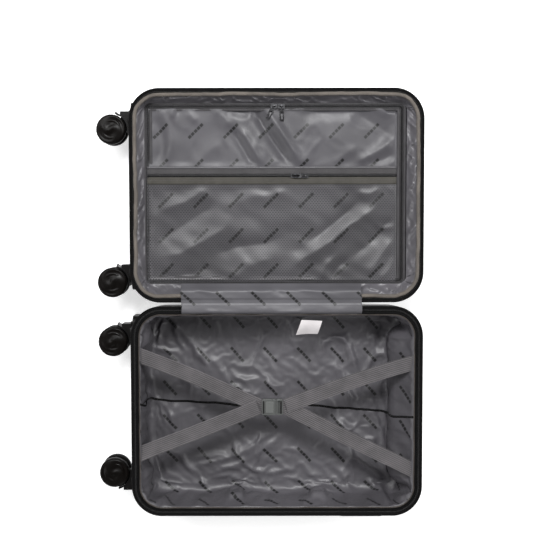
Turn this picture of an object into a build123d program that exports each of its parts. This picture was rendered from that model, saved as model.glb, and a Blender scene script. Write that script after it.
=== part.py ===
from build123d import *
import math
import os

# Hard shell spinner suitcase, cabin size, modelled lying open and flat on a floor.
# +Z is up.  +Y runs from the base half to the lid half, +X from the wheels to the
# handle end.  The origin is the centre of the whole footprint, on the floor.
# Everything is built about the hinge line (case frame) and shifted at export.
# All sizes are millimetres.

# ---------------------------------------------------------------- driving sizes
SHELL_L = 482.0          # shell outline along X at the rim
SHELL_W = 350.0          # shell outline along Y at the rim
CORNER_R = 50.0          # plan corner radius at the rim
RIM_Z = 110.0            # height of each half's rim above the floor
DRAFT = 6.0              # how far each wall leans in from rim to floor
WALL = 3.0               # shell wall
RIB_H = 2.5              # raised ribs on the outside
EDGE_R = 26.0            # floor edge radius of the skin
GAP = 6.0                # gap between the two rims when open
HINGE_Z = 115.0          # hinge line height
HALF_Y = GAP / 2 + SHELL_W / 2          # centre of each half

TAPE_W = 12.0            # zip tape visible on each rim
TAPE_T = 2.0
COIL_IN, COIL_OUT = 8.4, 5.4            # inset of the coil from the outline
COIL_TOP = 114.8

LINING_GAP = 8.5         # lining hangs this far inside the outline
LINING_T = 1.2
LINING_FLOOR = 27.0

WHEEL_R = 25.0           # 50 mm twin wheels
WHEEL_X = -276.0         # axle position
TRAIL = 16.0             # axle offset from the swivel line
SWIVEL_Z = 57.0
SWIVEL_DY = 128.0        # swivel lines each side of a half's centre line

TUBE_DY = 78.0           # trolley tubes each side of the base centre line
TUBE_Z = 17.0

HANDLE_PROUD = 5.0

# shift from the case frame to the row frame, so the footprint is centred
X_MIN = WHEEL_X - WHEEL_R
X_MAX = SHELL_L / 2 - DRAFT * (RIM_Z - 58) / RIM_Z + 8.8      # face of the top handle
Y_MIN = -GAP / 2 - SHELL_W - 6.376                          # lock dials
Y_MAX = GAP / 2 + SHELL_W
OX = -(X_MIN + X_MAX) / 2
OY = -(Y_MIN + Y_MAX) / 2

os.makedirs("parts", exist_ok=True)
DONE = {}


def put(name, *shapes):
    """Writes one node: one solid, or several separate solids."""
    solids = []
    for s in shapes:
        solids += list(s.solids())
    solids = [Pos(OX, OY, 0) * s for s in solids]
    out = solids[0] if len(solids) == 1 else Compound(children=solids)
    export_step(out, f"parts/{name}.step")
    DONE[name] = len(solids)


def block(x0, x1, y0, y1, z0, z1):
    return Pos((x0 + x1) / 2, (y0 + y1) / 2, (z0 + z1) / 2) * Box(abs(x1 - x0), abs(y1 - y0), abs(z1 - z0))


def rod_x(r, x0, x1, y=0.0, z=0.0):
    return Pos((x0 + x1) / 2, y, z) * Rot(0, 90, 0) * Cylinder(r, abs(x1 - x0))


def rod_y(r, y0, y1, x=0.0, z=0.0):
    return Pos(x, (y0 + y1) / 2, z) * Rot(90, 0, 0) * Cylinder(r, abs(y1 - y0))


def rod_z(r, z0, z1, x=0.0, y=0.0):
    return Pos(x, y, (z0 + z1) / 2) * Cylinder(r, abs(z1 - z0))


def pan(inset, top, bottom, edge_r, lean=DRAFT):
    """A tapered rounded box, wide at the top, about x = y = 0."""
    slope = math.degrees(math.atan(lean / RIM_Z))
    grow = lean * (RIM_Z - top) / RIM_Z
    plan = RectangleRounded(
        SHELL_L - 2 * (inset + grow), SHELL_W - 2 * (inset + grow), CORNER_R - inset - grow
    )
    body = extrude(Pos(0, 0, top) * plan, amount=-(top - bottom), taper=slope)
    if edge_r:
        low = body.edges().group_by(Axis.Z)[0]
        body = fillet(low, edge_r)
    return body


def ring(outer, inner, z0, z1):
    """A flat ring that follows the outline, from inset outer to inset inner."""
    a = RectangleRounded(SHELL_L - 2 * outer, SHELL_W - 2 * outer, CORNER_R - outer)
    b = RectangleRounded(SHELL_L - 2 * inner, SHELL_W - 2 * inner, CORNER_R - inner)
    return extrude(Pos(0, 0, z0) * (a - b), amount=z1 - z0)


# ---------------------------------------------------------------- shells
skin = pan(0, RIM_Z, RIB_H, EDGE_R)                       # solid outer form
hollow = pan(WALL, RIM_Z + 2, RIB_H + WALL, EDGE_R - WALL)
proud = pan(-RIB_H, RIM_Z, 0.0, EDGE_R + RIB_H)           # skin grown by the rib height

ribs = None
for k in range(-3, 4):
    slab = proud & block(-260, 260, k * 45 - 12, k * 45 + 12, 0, 92)
    ribs = slab if ribs is None else ribs + slab
ribs = ribs - pan(0.02, RIM_Z, RIB_H + 0.02, EDGE_R)


def housing_seats(y_half):
    return [(y_half - SWIVEL_DY), (y_half + SWIVEL_DY)]


def shell_blank():
    blank = skin + ribs - hollow
    for dy in (-SWIVEL_DY, SWIVEL_DY):
        # plain area and through hole for a caster housing
        blank = blank - (block(-260, -226, dy - 31, dy + 31, 26, 88) - skin)
        blank = blank - rod_x(20.2, -250, -225, dy, SWIVEL_Z)
    return blank


blank = shell_blank()

# base: cut-outs for the trolley bezel, the lock and the side handle
BZ_Y, BZ_Z0, BZ_Z1, BZ_X = 104.0, 8.5, 50.0, 200.0
LK_X0, LK_X1, LK_Z0, LK_Z1 = 105.0, 177.0, 64.0, 98.0
lock_cut = block(LK_X0 + 3, LK_X1 - 3, -182, -165, LK_Z0 + 3, LK_Z1 - 3)
base_shell = blank - (block(205, 260, -108, 108, 6, 54) - skin) - block(BZ_X, 260, -BZ_Y, BZ_Y, BZ_Z0, BZ_Z1)
base_shell = base_shell - lock_cut
LEG_X = 70.0             # carry handle legs each side of the handle's centre
HZ = 58.0                # carry handles' centre height
GUIDE = (6.0, 10.0)      # half width and half height of the guide boxes behind the wall
for sx in (-1, 1):
    base_shell = base_shell - block(
        sx * LEG_X - GUIDE[0], sx * LEG_X + GUIDE[0], -182, -165, HZ - GUIDE[1], HZ + GUIDE[1]
    )
put("base_shell", Pos(0, -HALF_Y, 0) * base_shell)

lid_shell = blank - (block(226, 260, -97, 97, HZ - 17, HZ + 17) - skin)
for sy in (-1, 1):
    lid_shell = lid_shell - block(
        225, 260, sy * LEG_X - GUIDE[0], sy * LEG_X + GUIDE[0], HZ - GUIDE[1], HZ + GUIDE[1]
    )
put("lid_shell", Pos(0, HALF_Y, 0) * lid_shell)

# ---------------------------------------------------------------- zips on the rims
HINGE_X0, HINGE_X1 = -122.0, 108.0       # woven hinge between these
tape = ring(0.4, TAPE_W, RIM_Z, RIM_Z + TAPE_T)
coil = ring(COIL_OUT, COIL_IN, RIM_Z + TAPE_T, COIL_TOP)
# no coil where the woven hinge joins the halves
coil_base = coil - block(HINGE_X0 - 2, HINGE_X1 + 2, 160, 180, RIM_Z, HINGE_Z + 5)
coil_lid = coil - block(HINGE_X0 - 2, HINGE_X1 + 2, -180, -160, RIM_Z, HINGE_Z + 5)
put("base_zip", Pos(0, -HALF_Y, 0) * (tape + coil_base))
put("lid_zip", Pos(0, HALF_Y, 0) * (tape + coil_lid))
put("lid_binding", Pos(0, HALF_Y, 0) * ring(8.8, 13.6, RIM_Z + TAPE_T, 114.7))

# woven hinge and the lining flap over it
put("hinge_tape", block(HINGE_X0, HINGE_X1, -11.4, 11.4, 112.2, 113.4))
put("lining_flap", block(-157, 139, -20, 34, 115.2, 116.2))

# main zip sliders, parked at the ends of the zip beside the hinge
def main_slider(x):
    body = block(x - 7, x + 7, -7.9, -3.6, 112.15, 114.7)
    body = fillet(body.edges().filter_by(Axis.Z), 1.2)
    neck = block(x - 1.6, x + 1.6, -4.4, -0.6, 112.4, 114.4)
    pull = block(x - 4, x + 4, -1.9, -0.4, 86, 114.4)
    pull = fillet(pull.edges().filter_by(Axis.Y), 2.0)
    pull = pull - block(x - 2, x + 2, -5, 1, 89.5, 99)
    return body + neck + pull


put("main_zip_slider_left", main_slider(-140))
put("main_zip_slider_right", main_slider(125))

# ---------------------------------------------------------------- linings
def lining(bottom, steps):
    """A thin tub inside a shell, stepped over what sits behind it."""
    top = RIM_Z - 0.2
    out = pan(LINING_GAP, top, bottom, 20)
    inn = pan(LINING_GAP + LINING_T, top + 2, bottom + LINING_T, 20 - LINING_T)
    g = LINING_T
    for x0, x1, y0, y1, z0, z1 in steps:
        out = out - block(x0, x1, y0, y1, z0, z1)
        inn = inn - block(x0 - g, x1 + g, y0 - g, y1 + g, z0 - g, z1 + g)
    return out - inn


corner_steps = [(-250, -221, -180, -SWIVEL_DY + 25, 0, 82), (-250, -221, SWIVEL_DY - 25, 180, 0, 82)]
GD = 23.0                # how far inside the outline the guide boxes reach
leg_steps = [
    (s * LEG_X - 7.5, s * LEG_X + 7.5, -190, -SHELL_W / 2 + GD + 1.5, HZ - 11.5, HZ + 11.5) for s in (-1, 1)
]
base_lining = lining(LINING_FLOOR, corner_steps + leg_steps + [(193, 260, -111, 111, 0, 53)])
# slit across the floor for the lining's access zip
base_lining = base_lining - block(-190, 180, -3.2, 3.2, LINING_FLOOR - 1, LINING_FLOOR + 3)
put("base_lining", Pos(0, -HALF_Y, 0) * base_lining)
azip = block(-189.8, 179.8, -3, 3, LINING_FLOOR + 0.1, LINING_FLOOR + 1.1) + block(
    -188, 178, -1.3, 1.3, LINING_FLOOR + 1.1, LINING_FLOOR + 2.4
)
put("base_lining_zip", Pos(0, -HALF_Y, 0) * azip)

# lid: tub plus the ledge that carries the divider zip
DV_X0, DV_X1, DV_Y0, DV_Y1 = -219.0, 213.0, 31.0, 332.0      # divider frame, case frame
DV_Z = 96.4
end_steps = [
    (SHELL_L / 2 - GD - 1.5, 260, s * LEG_X - 7.5, s * LEG_X + 7.5, HZ - 11.5, HZ + 11.5) for s in (-1, 1)
]
lid_tub = lining(8.5, corner_steps + end_steps)
ledge = pan(LINING_GAP + 0.4, DV_Z + 1.2, DV_Z, 0) - block(
    DV_X0 - 0.1, DV_X1 + 0.1, DV_Y0 - HALF_Y - 0.1, DV_Y1 - HALF_Y + 0.1, 90, 100
)
put("lid_lining", Pos(0, HALF_Y, 0) * (lid_tub + ledge))

# ---------------------------------------------------------------- divider panel in the lid
TW = 15.0                # divider zip tape width
put("divider_panel", block(DV_X0 + 1, DV_X1 - 1, DV_Y0 + 1, DV_Y1 - 1, DV_Z - 1.6, DV_Z - 0.2))
dz_out = block(DV_X0, DV_X1, DV_Y0, DV_Y1, DV_Z, DV_Z + 1.2)
dz_in = block(DV_X0 + TW, DV_X1 - TW, DV_Y0 + TW, DV_Y1 - TW, DV_Z - 1, DV_Z + 3)
dz = dz_out - dz_in
dc = block(DV_X0 + 6, DV_X1 - 6, DV_Y0 + 6, DV_Y1 - 6, DV_Z + 1.2, DV_Z + 2.8)
dc = dc - block(DV_X0 + 9, DV_X1 - 9, DV_Y0 + 9, DV_Y1 - 9, DV_Z, DV_Z + 4)
put("divider_zip", dz + dc)

PK_Y = 211.0             # pocket zip line
PK_W = 14.0              # half the pocket zip's width
px0, px1 = DV_X0 + TW + 0.3, DV_X1 - TW - 0.3
pz = block(px0, px1, PK_Y - PK_W, PK_Y + PK_W, DV_Z, DV_Z + 1.2) + block(
    px0, px1, PK_Y - 1.5, PK_Y + 1.5, DV_Z + 1.2, DV_Z + 2.8
)
put("pocket_zip", pz)
put("mesh_pocket", block(px0, px1, DV_Y0 + TW + 0.3, PK_Y - PK_W - 0.3, DV_Z, DV_Z + 1.0))


def zip_slider(x, y, bar_along):
    """Slider body astride a coil that runs along X, with a crown bar."""
    z0 = DV_Z + 1.4
    b = block(x - 5.5, x + 5.5, y - 4, y + 4, z0, z0 + 3.2)
    b = fillet(b.edges().filter_by(Axis.Z), 1.5)
    b = b - block(x - 8, x + 8, y - 1.8, y + 1.8, z0 - 1, DV_Z + 3.1)
    zt = z0 + 3.2
    if bar_along == "x":
        ears = block(x - 3.4, x - 2.4, y - 1, y + 1, zt, zt + 2.6) + block(x + 2.4, x + 3.4, y - 1, y + 1, zt, zt + 2.6)
        bar = rod_x(0.6, x - 2.6, x + 2.6, y, zt + 1.7)
    else:
        ears = block(x - 1, x + 1, y - 3.4, y - 2.4, zt, zt + 2.6) + block(x - 1, x + 1, y + 2.4, y + 3.4, zt, zt + 2.6)
        bar = rod_y(0.6, y - 2.6, y + 2.6, x, zt + 1.7)
    return b + ears + bar


PIV = DV_Z + 1.4 + 3.2 + 1.7          # pull pivot height
DROOP = 5.5                           # pulls lie this many degrees below level


def zip_pull(yaw=0.0, length=24.0):
    """Looped pull pointing along -X from its eye, pivot along Y, swung sideways by yaw."""
    neck = block(-8, -0.9, -1.0, 1.0, -0.7, 0.7)
    tag = block(-length, -6, -3.6, 3.6, -0.75, 0.75)
    tag = fillet(tag.edges().filter_by(Axis.Z), 2.4)
    slot = block(-length + 2.2, -9, -1.7, 1.7, -2, 2)
    p = neck + tag - fillet(slot.edges().filter_by(Axis.Z), 1.6) + rod_y(1.6, -0.6, 0.6) - rod_y(1.1, -4, 4)
    return Rot(0, 0, yaw) * Rot(0, -DROOP, 0) * p


SL_Y = DV_Y1 - 7.5                    # centre of the divider coil on the far side
SL_X = (-4.0, 8.0)
put("divider_slider_left", zip_slider(SL_X[0], SL_Y, "x"))
put("divider_slider_right", zip_slider(SL_X[1], SL_Y, "x"))
for side, x, yaw in (("left", SL_X[0], -28), ("right", SL_X[1], 3)):
    put(f"divider_pull_{side}", Pos(x, SL_Y, PIV) * Rot(0, 0, 90) * zip_pull(yaw))
PS_X = 47.0
put("pocket_slider", zip_slider(PS_X, PK_Y, "y"))
put("pocket_pull", Pos(PS_X, PK_Y, PIV) * zip_pull())

# ---------------------------------------------------------------- cross straps and buckle
STRAP_W, STRAP_T = 25.0, 1.2
BK_Y = -172.5


def strap(x0, y0, x1, y1, z0, trim=None):
    """A flat band between two points, cut square to X at both ends."""
    length = math.hypot(x1 - x0, y1 - y0)
    ang = math.degrees(math.atan2(y1 - y0, x1 - x0))
    body = Pos((x0 + x1) / 2, (y0 + y1) / 2, z0 + STRAP_T / 2) * Rot(0, 0, ang) * Box(length + 60, STRAP_W, STRAP_T)
    return body & block(min(x0, x1), max(x0, x1), -400, 0, z0 - 1, z0 + 5)


SX = 230.0               # strap ends at the lining's end walls
left = [strap(-SX, -84, -30, BK_Y + 1, 94.4), strap(-SX, -251, -30, BK_Y, 96.0)]
left.append(block(-40, -22.8, BK_Y - 11.5, BK_Y + 11.5, 97.4, 98.6))
right = [strap(22, BK_Y + 1, SX, -96, 94.4), strap(22, BK_Y, SX, -278, 96.0)]
right.append(block(7.8, 34, BK_Y - 11.5, BK_Y + 11.5, 97.4, 98.6))
put("cross_straps_left", *left)
put("cross_straps_right", *right)

# female half with a press button, male half with a tongue
sock = block(-25, -1.6, BK_Y - 13.5, BK_Y + 13.5, 93.5, 102.5)
sock = fillet(sock.edges().filter_by(Axis.Z), 2.5)
sock = fillet(sock.edges().group_by(Axis.Z)[-1], 1.0)
sock = sock - block(-30, -22.5, BK_Y - 11.8, BK_Y + 11.8, 97.1, 98.9)         # webbing slot
sock = sock - block(-19.5, 0, BK_Y - 10.2, BK_Y + 10.2, 95.3, 99.4)          # tongue cavity
sock = sock - block(-19.4, -4.6, BK_Y - 9.9, BK_Y + 9.9, 98, 104)            # button window
put("buckle_socket", sock)
btn = block(-19.2, -4.8, BK_Y - 9.7, BK_Y + 9.7, 100.0, 103.0)
put("buckle_button", fillet(btn.edges().group_by(Axis.Z)[-1], 0.9))
plug = block(-1.2, 10, BK_Y - 13.5, BK_Y + 13.5, 94.0, 102.0)
plug = fillet(plug.edges().filter_by(Axis.Z), 2.5)
plug = fillet(plug.edges().group_by(Axis.Z)[-1], 0.9)
plug = plug - block(1.4, 5.2, BK_Y - 10.5, BK_Y + 10.5, 99.0, 104)
plug = plug - block(7.5, 20, BK_Y - 11.8, BK_Y + 11.8, 97.1, 98.9)
plug = plug + block(-18, -1.0, BK_Y - 9.8, BK_Y + 9.8, 95.7, 97.9)
put("buckle_plug", plug)

# sewn-in care label near the hinge side
lab = Pos(54, -39.5, 100) * Rot(0, 0, -16) * Rot(27, 0, 0) * Box(36, 28, 0.8)
put("care_label", lab)

# ---------------------------------------------------------------- trolley handle
def tube(w, h, t, x0, x1, y, z):
    return block(x0, x1, y - w / 2, y + w / 2, z - h / 2, z + h / 2) - block(
        x0 - 1, x1 + 1, y - w / 2 + t, y + w / 2 - t, z - h / 2 + t, z + h / 2 - t
    )


def solid_bar(w, h, x0, x1, y, z):
    return block(x0, x1, y - w / 2, y + w / 2, z - h / 2, z + h / 2)


ty = [-HALF_Y - TUBE_DY, -HALF_Y + TUBE_DY]
put("trolley_outer_tubes", *[tube(22, 13, 1.2, -216, BZ_X, y, TUBE_Z) for y in ty])
put("trolley_middle_tubes", *[tube(19, 10, 1.1, -206, 213.6, y, TUBE_Z) for y in ty])
put("trolley_inner_tubes", *[tube(16.2, 7.2, 1.0, -196, 226, y, TUBE_Z) for y in ty])
feet = []
for y in ty:
    f = block(-222, -200, y - 15, y + 15, 5.8, 25.4) - solid_bar(22, 13, -216, -190, y, TUBE_Z)
    f = fillet(f.edges().filter_by(Axis.Z).group_by(Axis.X)[0], 4)
    feet.append(f & (Pos(0, -HALF_Y, 0) * hollow))
put("trolley_foot_brackets", *feet)

bez_in = proud & block(BZ_X, 260, -BZ_Y, BZ_Y, BZ_Z0, BZ_Z1)
bez_flange = (proud & block(205, 260, -107.9, 107.9, 6.1, 53.9)) - skin
bez = bez_in + bez_flange
bez = bez - block(214, 260, -100, 100, 11, 36.2)                 # grip recess
bez = bez - block(221, 260, -52, 52, 36, 47)                     # finger scoop
for sy in (-1, 1):
    bez = bez - block(190, 216, sy * TUBE_DY - 9.9, sy * TUBE_DY + 9.9, TUBE_Z - 5.4, TUBE_Z + 5.4)
put("trolley_bezel", Pos(0, -HALF_Y, 0) * bez)

grip = block(218.5, 235.0, -97, 97, 12, 33.5)
grip = fillet(grip.edges().filter_by(Axis.X), 5)
grip = fillet(grip.edges().filter_by(Axis.Y).group_by(Axis.X)[-1], 4)
grip = grip - block(226, 240, -22.3, 22.3, 16.7, 29.3)          # button pocket
for sy in (-1, 1):
    grip = grip - solid_bar(16.2, 7.2, 217, 226, sy * TUBE_DY, TUBE_Z)
put("trolley_grip", Pos(0, -HALF_Y, 0) * grip)
gb = block(230.2, 236.0, -22, 22, 17, 29)
gb = fillet(gb.edges().filter_by(Axis.X), 3)
put("trolley_button", Pos(0, -HALF_Y, 0) * gb)

# ---------------------------------------------------------------- carry handles
def carry_handle():
    """Low bar along X with two long legs, standing off a wall whose outside is y = 0, pulled along -Y."""
    bar = block(-88, 88, -8.8, -3.8, -11, 11)
    bar = fillet(bar.edges().filter_by(Axis.Y), 6)
    bar = fillet(bar.edges().group_by(Axis.Y)[0], 1.6)
    for s in (-1, 1):
        bar = bar + block(s * LEG_X - 4, s * LEG_X + 4, -5, 18.0, -8, 8)
    return bar


def handle_cap(s, body_skin, place):
    """Cap plate outside the wall with the guide box for one leg through and behind the wall."""
    c = block(s * LEG_X - 13, s * LEG_X + 13, -3.2, 6, -14, 14)
    c = fillet(c.edges().filter_by(Axis.Y), 5)
    c = place * c - body_skin
    box = block(s * LEG_X - GUIDE[0] + 0.1, s * LEG_X + GUIDE[0] - 0.1, -1, 19.5, -GUIDE[1] + 0.1, GUIDE[1] - 0.1)
    leg = block(s * LEG_X - 4.2, s * LEG_X + 4.2, -10, 30, -8.2, 8.2)
    return c + place * box - place * leg


WALL_AT = DRAFT * (RIM_Z - HZ) / RIM_Z          # skin inset at handle height
skin_base = Pos(0, -HALF_Y, 0) * skin
skin_lid = Pos(0, HALF_Y, 0) * skin
yw = -(GAP / 2 + SHELL_W) + WALL_AT
side = Pos(0, yw, HZ)
put("side_handle", side * carry_handle())
put("side_handle_caps", *[handle_cap(s, skin_base, side) for s in (-1, 1)])
top = Pos(SHELL_L / 2 - WALL_AT, HALF_Y, HZ) * Rot(0, 0, 90)
put("top_handle", top * carry_handle())
put("top_handle_caps", *[handle_cap(s, skin_lid, top) for s in (-1, 1)])

# ---------------------------------------------------------------- combination lock
yl = -(GAP / 2 + SHELL_W)                 # rim outline on the far side of the base
LF = yl - 5.2                              # lock face
lk = block(LK_X0, LK_X1, LF, yl + 4, LK_Z0, LK_Z1)
lk = fillet(lk.edges().filter_by(Axis.Y), 5)
lk = fillet(lk.edges().group_by(Axis.Y)[0], 1.2)
lk = lk - skin_base
lk = lk + (Pos(0, -HALF_Y, 0) * lock_cut & block(LK_X0, LK_X1, yl - 1, yl + 8.3, LK_Z0, LK_Z1))
LKZ = (LK_Z0 + LK_Z1) / 2
DIAL_R, DIAL_Y = 6.2, LF + 5.0
dial_x = [119.0, 129.0, 139.0]
for x in dial_x:
    lk = lk - block(x - 3.1, x + 3.1, LF - 2, DIAL_Y + 6.8, LKZ - 6.8, LKZ + 6.8)
lk = lk - block(149, 161, LF - 2, LF + 4.2, LKZ - 4.2, LKZ + 4.2)       # release slot
for z in (LKZ - 8, LKZ + 5.5):
    lk = lk - block(165.5, 172.5, LF - 2, LF + 6, z, z + 2.6)           # zip tag slots
lk = lk + rod_x(1.5, dial_x[0] - 4.5, dial_x[-1] + 4.5, DIAL_Y, LKZ)
put("lock_housing", lk)
for n, x in enumerate(dial_x, 1):
    d = rod_x(DIAL_R, x - 2.7, x + 2.7, DIAL_Y, LKZ)
    for a in range(0, 360, 36):
        ca, sa = math.cos(math.radians(a)), math.sin(math.radians(a))
        d = d - rod_x(0.55, x - 4, x + 4, DIAL_Y + DIAL_R * ca, LKZ + DIAL_R * sa)
    put(f"lock_dial_{n}", d - rod_x(1.56, x - 4, x + 4, DIAL_Y, LKZ))
rel = block(149.3, 157.3, LF + 0.2, LF + 3.9, LKZ - 3.9, LKZ + 3.9) + block(152, 154.6, LF - 0.8, LF + 1, LKZ - 3, LKZ + 3)
put("lock_release", rel)

# ---------------------------------------------------------------- casters
BOSS_X = -244.0          # front of the housing
SCREW_AT = [(0, 14.0), (12.1, -7.0), (-12.1, -7.0)]


def caster_housing(y, body_skin):
    b = block(BOSS_X + 2.5, -228, y - 28, y + 28, SWIVEL_Z - 28, SWIVEL_Z + 28)
    b = fillet(b.edges().filter_by(Axis.X), 12)
    b = b + rod_x(21, BOSS_X, -234, y, SWIVEL_Z)
    b = b - body_skin
    b = b + rod_x(20.0, BOSS_X + 0.5, -226, y, SWIVEL_Z)
    b = b - rod_x(4.06, BOSS_X - 1, -228.5, y, SWIVEL_Z)
    for dy, dz_ in SCREW_AT:
        b = b - rod_x(1.7, -237.8, -225, y + dy, SWIVEL_Z + dz_)
    return b


def screws(y):
    out = []
    for dy, dz_ in SCREW_AT:
        out.append(rod_x(1.6, -237.5, -225.9, y + dy, SWIVEL_Z + dz_) + rod_x(3.2, -225.9, -223.6, y + dy, SWIVEL_Z + dz_))
    return out


seat = {
    "base_inner": (-HALF_Y + SWIVEL_DY, -1), "base_outer": (-HALF_Y - SWIVEL_DY, 1),
    "lid_inner": (HALF_Y - SWIVEL_DY, -1), "lid_outer": (HALF_Y + SWIVEL_DY, -1),
}
put("base_caster_housings", *[caster_housing(seat[k][0], skin_base) for k in ("base_inner", "base_outer")])
put("lid_caster_housings", *[caster_housing(seat[k][0], skin_lid) for k in ("lid_inner", "lid_outer")])
bezel_screws = [rod_x(2.4, BZ_X - 2.2, BZ_X, -HALF_Y + dy, 42) for dy in (-95, -40, 40, 95)]
put("base_screws", *(screws(seat["base_inner"][0]) + screws(seat["base_outer"][0]) + bezel_screws))
put("lid_screws", *(screws(seat["lid_inner"][0]) + screws(seat["lid_outer"][0])))


def fork(y, s):
    """Swivel fork between the twin wheels.  s is the side its axle trails to, along Y."""
    ax, ay = WHEEL_X, TRAIL * s
    u = -s                                   # mudguard tip is on the other side
    f = rod_x(4.0, BOSS_X - 1, -229.5)
    plate = rod_x(17, BOSS_X - 4.4, BOSS_X - 0.4)
    plate = fillet(plate.edges().group_by(Axis.X)[0], 1.2)
    f = f + plate
    pts = [
        (ax + 29, u * 12), (ax + 29, -u * 15), (ax + 13, -u * 23.5), (ax, -u * 24.5),
        (ax - 8, -u * 19), (ax - 7, -u * 12), (ax + 5, -u * 5), (ax + 19, u * 9),
    ]
    web = extrude(make_face(Polyline(*pts, close=True)), amount=6, both=True)
    f = f + web
    keep = rod_z(26.9, -30, 30, ax, ay)
    gus = block(ax + 15, BOSS_X - 2, -14, 14, -15.5, 15.5) - keep
    guard = rod_z(29.0, -16.5, 16.5, ax, ay) - keep
    a0, a1 = -12.0, 76.0
    wedge = [(ax, ay)] + [
        (ax + 45 * math.cos(math.radians(a)), ay + u * 45 * math.sin(math.radians(a))) for a in (a0, 20, 50, a1)
    ]
    guard = guard & extrude(make_face(Polyline(*wedge, close=True)), amount=17, both=True)
    tip_a = math.radians(a1)
    tip = [
        (ax + 27.0 * math.cos(tip_a - 0.16), ay + u * 27.0 * math.sin(tip_a - 0.16)),
        (ax + 31.6 * math.cos(tip_a + 0.03), ay + u * 31.6 * math.sin(tip_a + 0.03)),
        (ax + 27.0 * math.cos(tip_a + 0.02), ay + u * 27.0 * math.sin(tip_a + 0.02)),
    ]
    beak = extrude(make_face(Polyline(*tip, close=True)), amount=9, both=True)
    f = f + gus + guard + beak
    f = f - rod_z(3.06, -20, 20, ax, ay)
    return Pos(0, y, SWIVEL_Z) * f


def hub(z_side):
    """One dished wheel disc, turned about Z, outside face away from the fork."""
    prof = [
        (3.0, 7.0), (18.96, 7.0), (18.96, 16.6), (18.2, 17.4), (15.5, 19.2), (12.5, 19.0),
        (9.0, 17.4), (5.5, 15.9), (2.5, 15.4), (0, 15.3), (0, 13.0), (3.0, 13.0),
    ]
    with BuildSketch(Plane.XZ) as sk:
        with BuildLine():
            l1 = Polyline(*prof[:3])
            l2 = Spline(*prof[2:10])
            Polyline(prof[9], prof[10], prof[11], prof[0])
        make_face()
    h = revolve(sk.sketch, axis=Axis.Z, revolution_arc=360)
    return h if z_side > 0 else Rot(180, 0, 0) * h


def tyre(z_side):
    t = rod_z(WHEEL_R, 7.4, 17.4) - rod_z(19.0, 0, 30)
    rim = t.edges().filter_by(GeomType.CIRCLE).filter_by(lambda e: abs(e.radius - WHEEL_R) < 0.01)
    t = fillet(rim, 2.2)
    return t if z_side > 0 else Rot(180, 0, 0) * t


for k, (y, s) in seat.items():
    put(f"caster_{k}_fork", fork(y, s))
    at = Pos(WHEEL_X, y + TRAIL * s, SWIVEL_Z)
    put(f"caster_{k}_hubs", at * hub(1), at * hub(-1), at * rod_z(2.98, -12.8, 12.8))
    put(f"caster_{k}_tyres", at * tyre(1), at * tyre(-1))

print("nodes", len(DONE), "offset", OX, OY)
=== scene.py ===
import math
import random

import bpy
import numpy as np
from mathutils import Matrix, Vector


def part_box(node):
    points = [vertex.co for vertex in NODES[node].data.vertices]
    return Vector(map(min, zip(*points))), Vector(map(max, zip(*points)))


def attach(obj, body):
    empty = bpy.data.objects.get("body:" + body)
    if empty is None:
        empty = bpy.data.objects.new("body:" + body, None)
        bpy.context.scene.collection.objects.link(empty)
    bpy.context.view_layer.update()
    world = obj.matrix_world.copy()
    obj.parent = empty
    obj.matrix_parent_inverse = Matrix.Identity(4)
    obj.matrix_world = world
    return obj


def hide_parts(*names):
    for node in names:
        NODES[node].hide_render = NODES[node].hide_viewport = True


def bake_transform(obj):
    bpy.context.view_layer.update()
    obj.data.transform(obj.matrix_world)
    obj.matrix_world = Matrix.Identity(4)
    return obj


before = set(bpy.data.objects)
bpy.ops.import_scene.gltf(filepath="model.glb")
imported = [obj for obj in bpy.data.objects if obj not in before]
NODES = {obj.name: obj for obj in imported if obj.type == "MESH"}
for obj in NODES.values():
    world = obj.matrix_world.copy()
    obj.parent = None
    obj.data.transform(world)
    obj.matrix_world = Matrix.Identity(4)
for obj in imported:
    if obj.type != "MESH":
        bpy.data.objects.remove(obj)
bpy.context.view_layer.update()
rng = np.random.default_rng(7)
random.seed(7)

# ------------------------------------------------------------------ case frame
# Pieces are laid out in millimetres about the hinge line, as the case is made:
# x from wheels to handle, y from base to lid, z up from the floor.
_lo, _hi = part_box("base_zip")
HALF_Y = 178.0
OX = (_lo.x + _hi.x) / 2
OY = (_lo.y + _hi.y) / 2 + HALF_Y / 1000
OFF = np.array([OX, OY, 0.0])
RIM = _lo.z * 1000                     # underside of the zip tape
A, B, R = 191.0, 125.0, 50.0           # core half lengths and corner radius of the outline


def m3(p):
    return Vector((p[0] / 1000 + OX, p[1] / 1000 + OY, p[2] / 1000))


def sstep(e0, e1, x):
    t = np.clip((np.asarray(x, float) - e0) / (e1 - e0), 0, 1)
    return t * t * (3 - 2 * t)


# ------------------------------------------------------------------ smooth noise
def lattice(seed, n=256):
    r = np.random.default_rng(seed)
    return r.uniform(-1, 1, (n, n))


_LAT = {}


def noise2(x, y, scale, seed=0):
    """Smooth value noise, -1 to 1, with features about scale mm across."""
    if seed not in _LAT:
        _LAT[seed] = lattice(seed + 100)
    g = _LAT[seed]
    x = np.asarray(x, float) / scale + 1000.3
    y = np.asarray(y, float) / scale + 1000.7
    xi, yi = np.floor(x).astype(int), np.floor(y).astype(int)
    fx, fy = x - xi, y - yi
    fx, fy = fx**3 * (fx * (fx * 6 - 15) + 10), fy**3 * (fy * (fy * 6 - 15) + 10)
    n = g.shape[0]
    a, b = g[xi % n, yi % n], g[(xi + 1) % n, yi % n]
    c, d = g[xi % n, (yi + 1) % n], g[(xi + 1) % n, (yi + 1) % n]
    return (a * (1 - fx) + b * fx) * (1 - fy) + (c * (1 - fx) + d * fx) * fy


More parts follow.
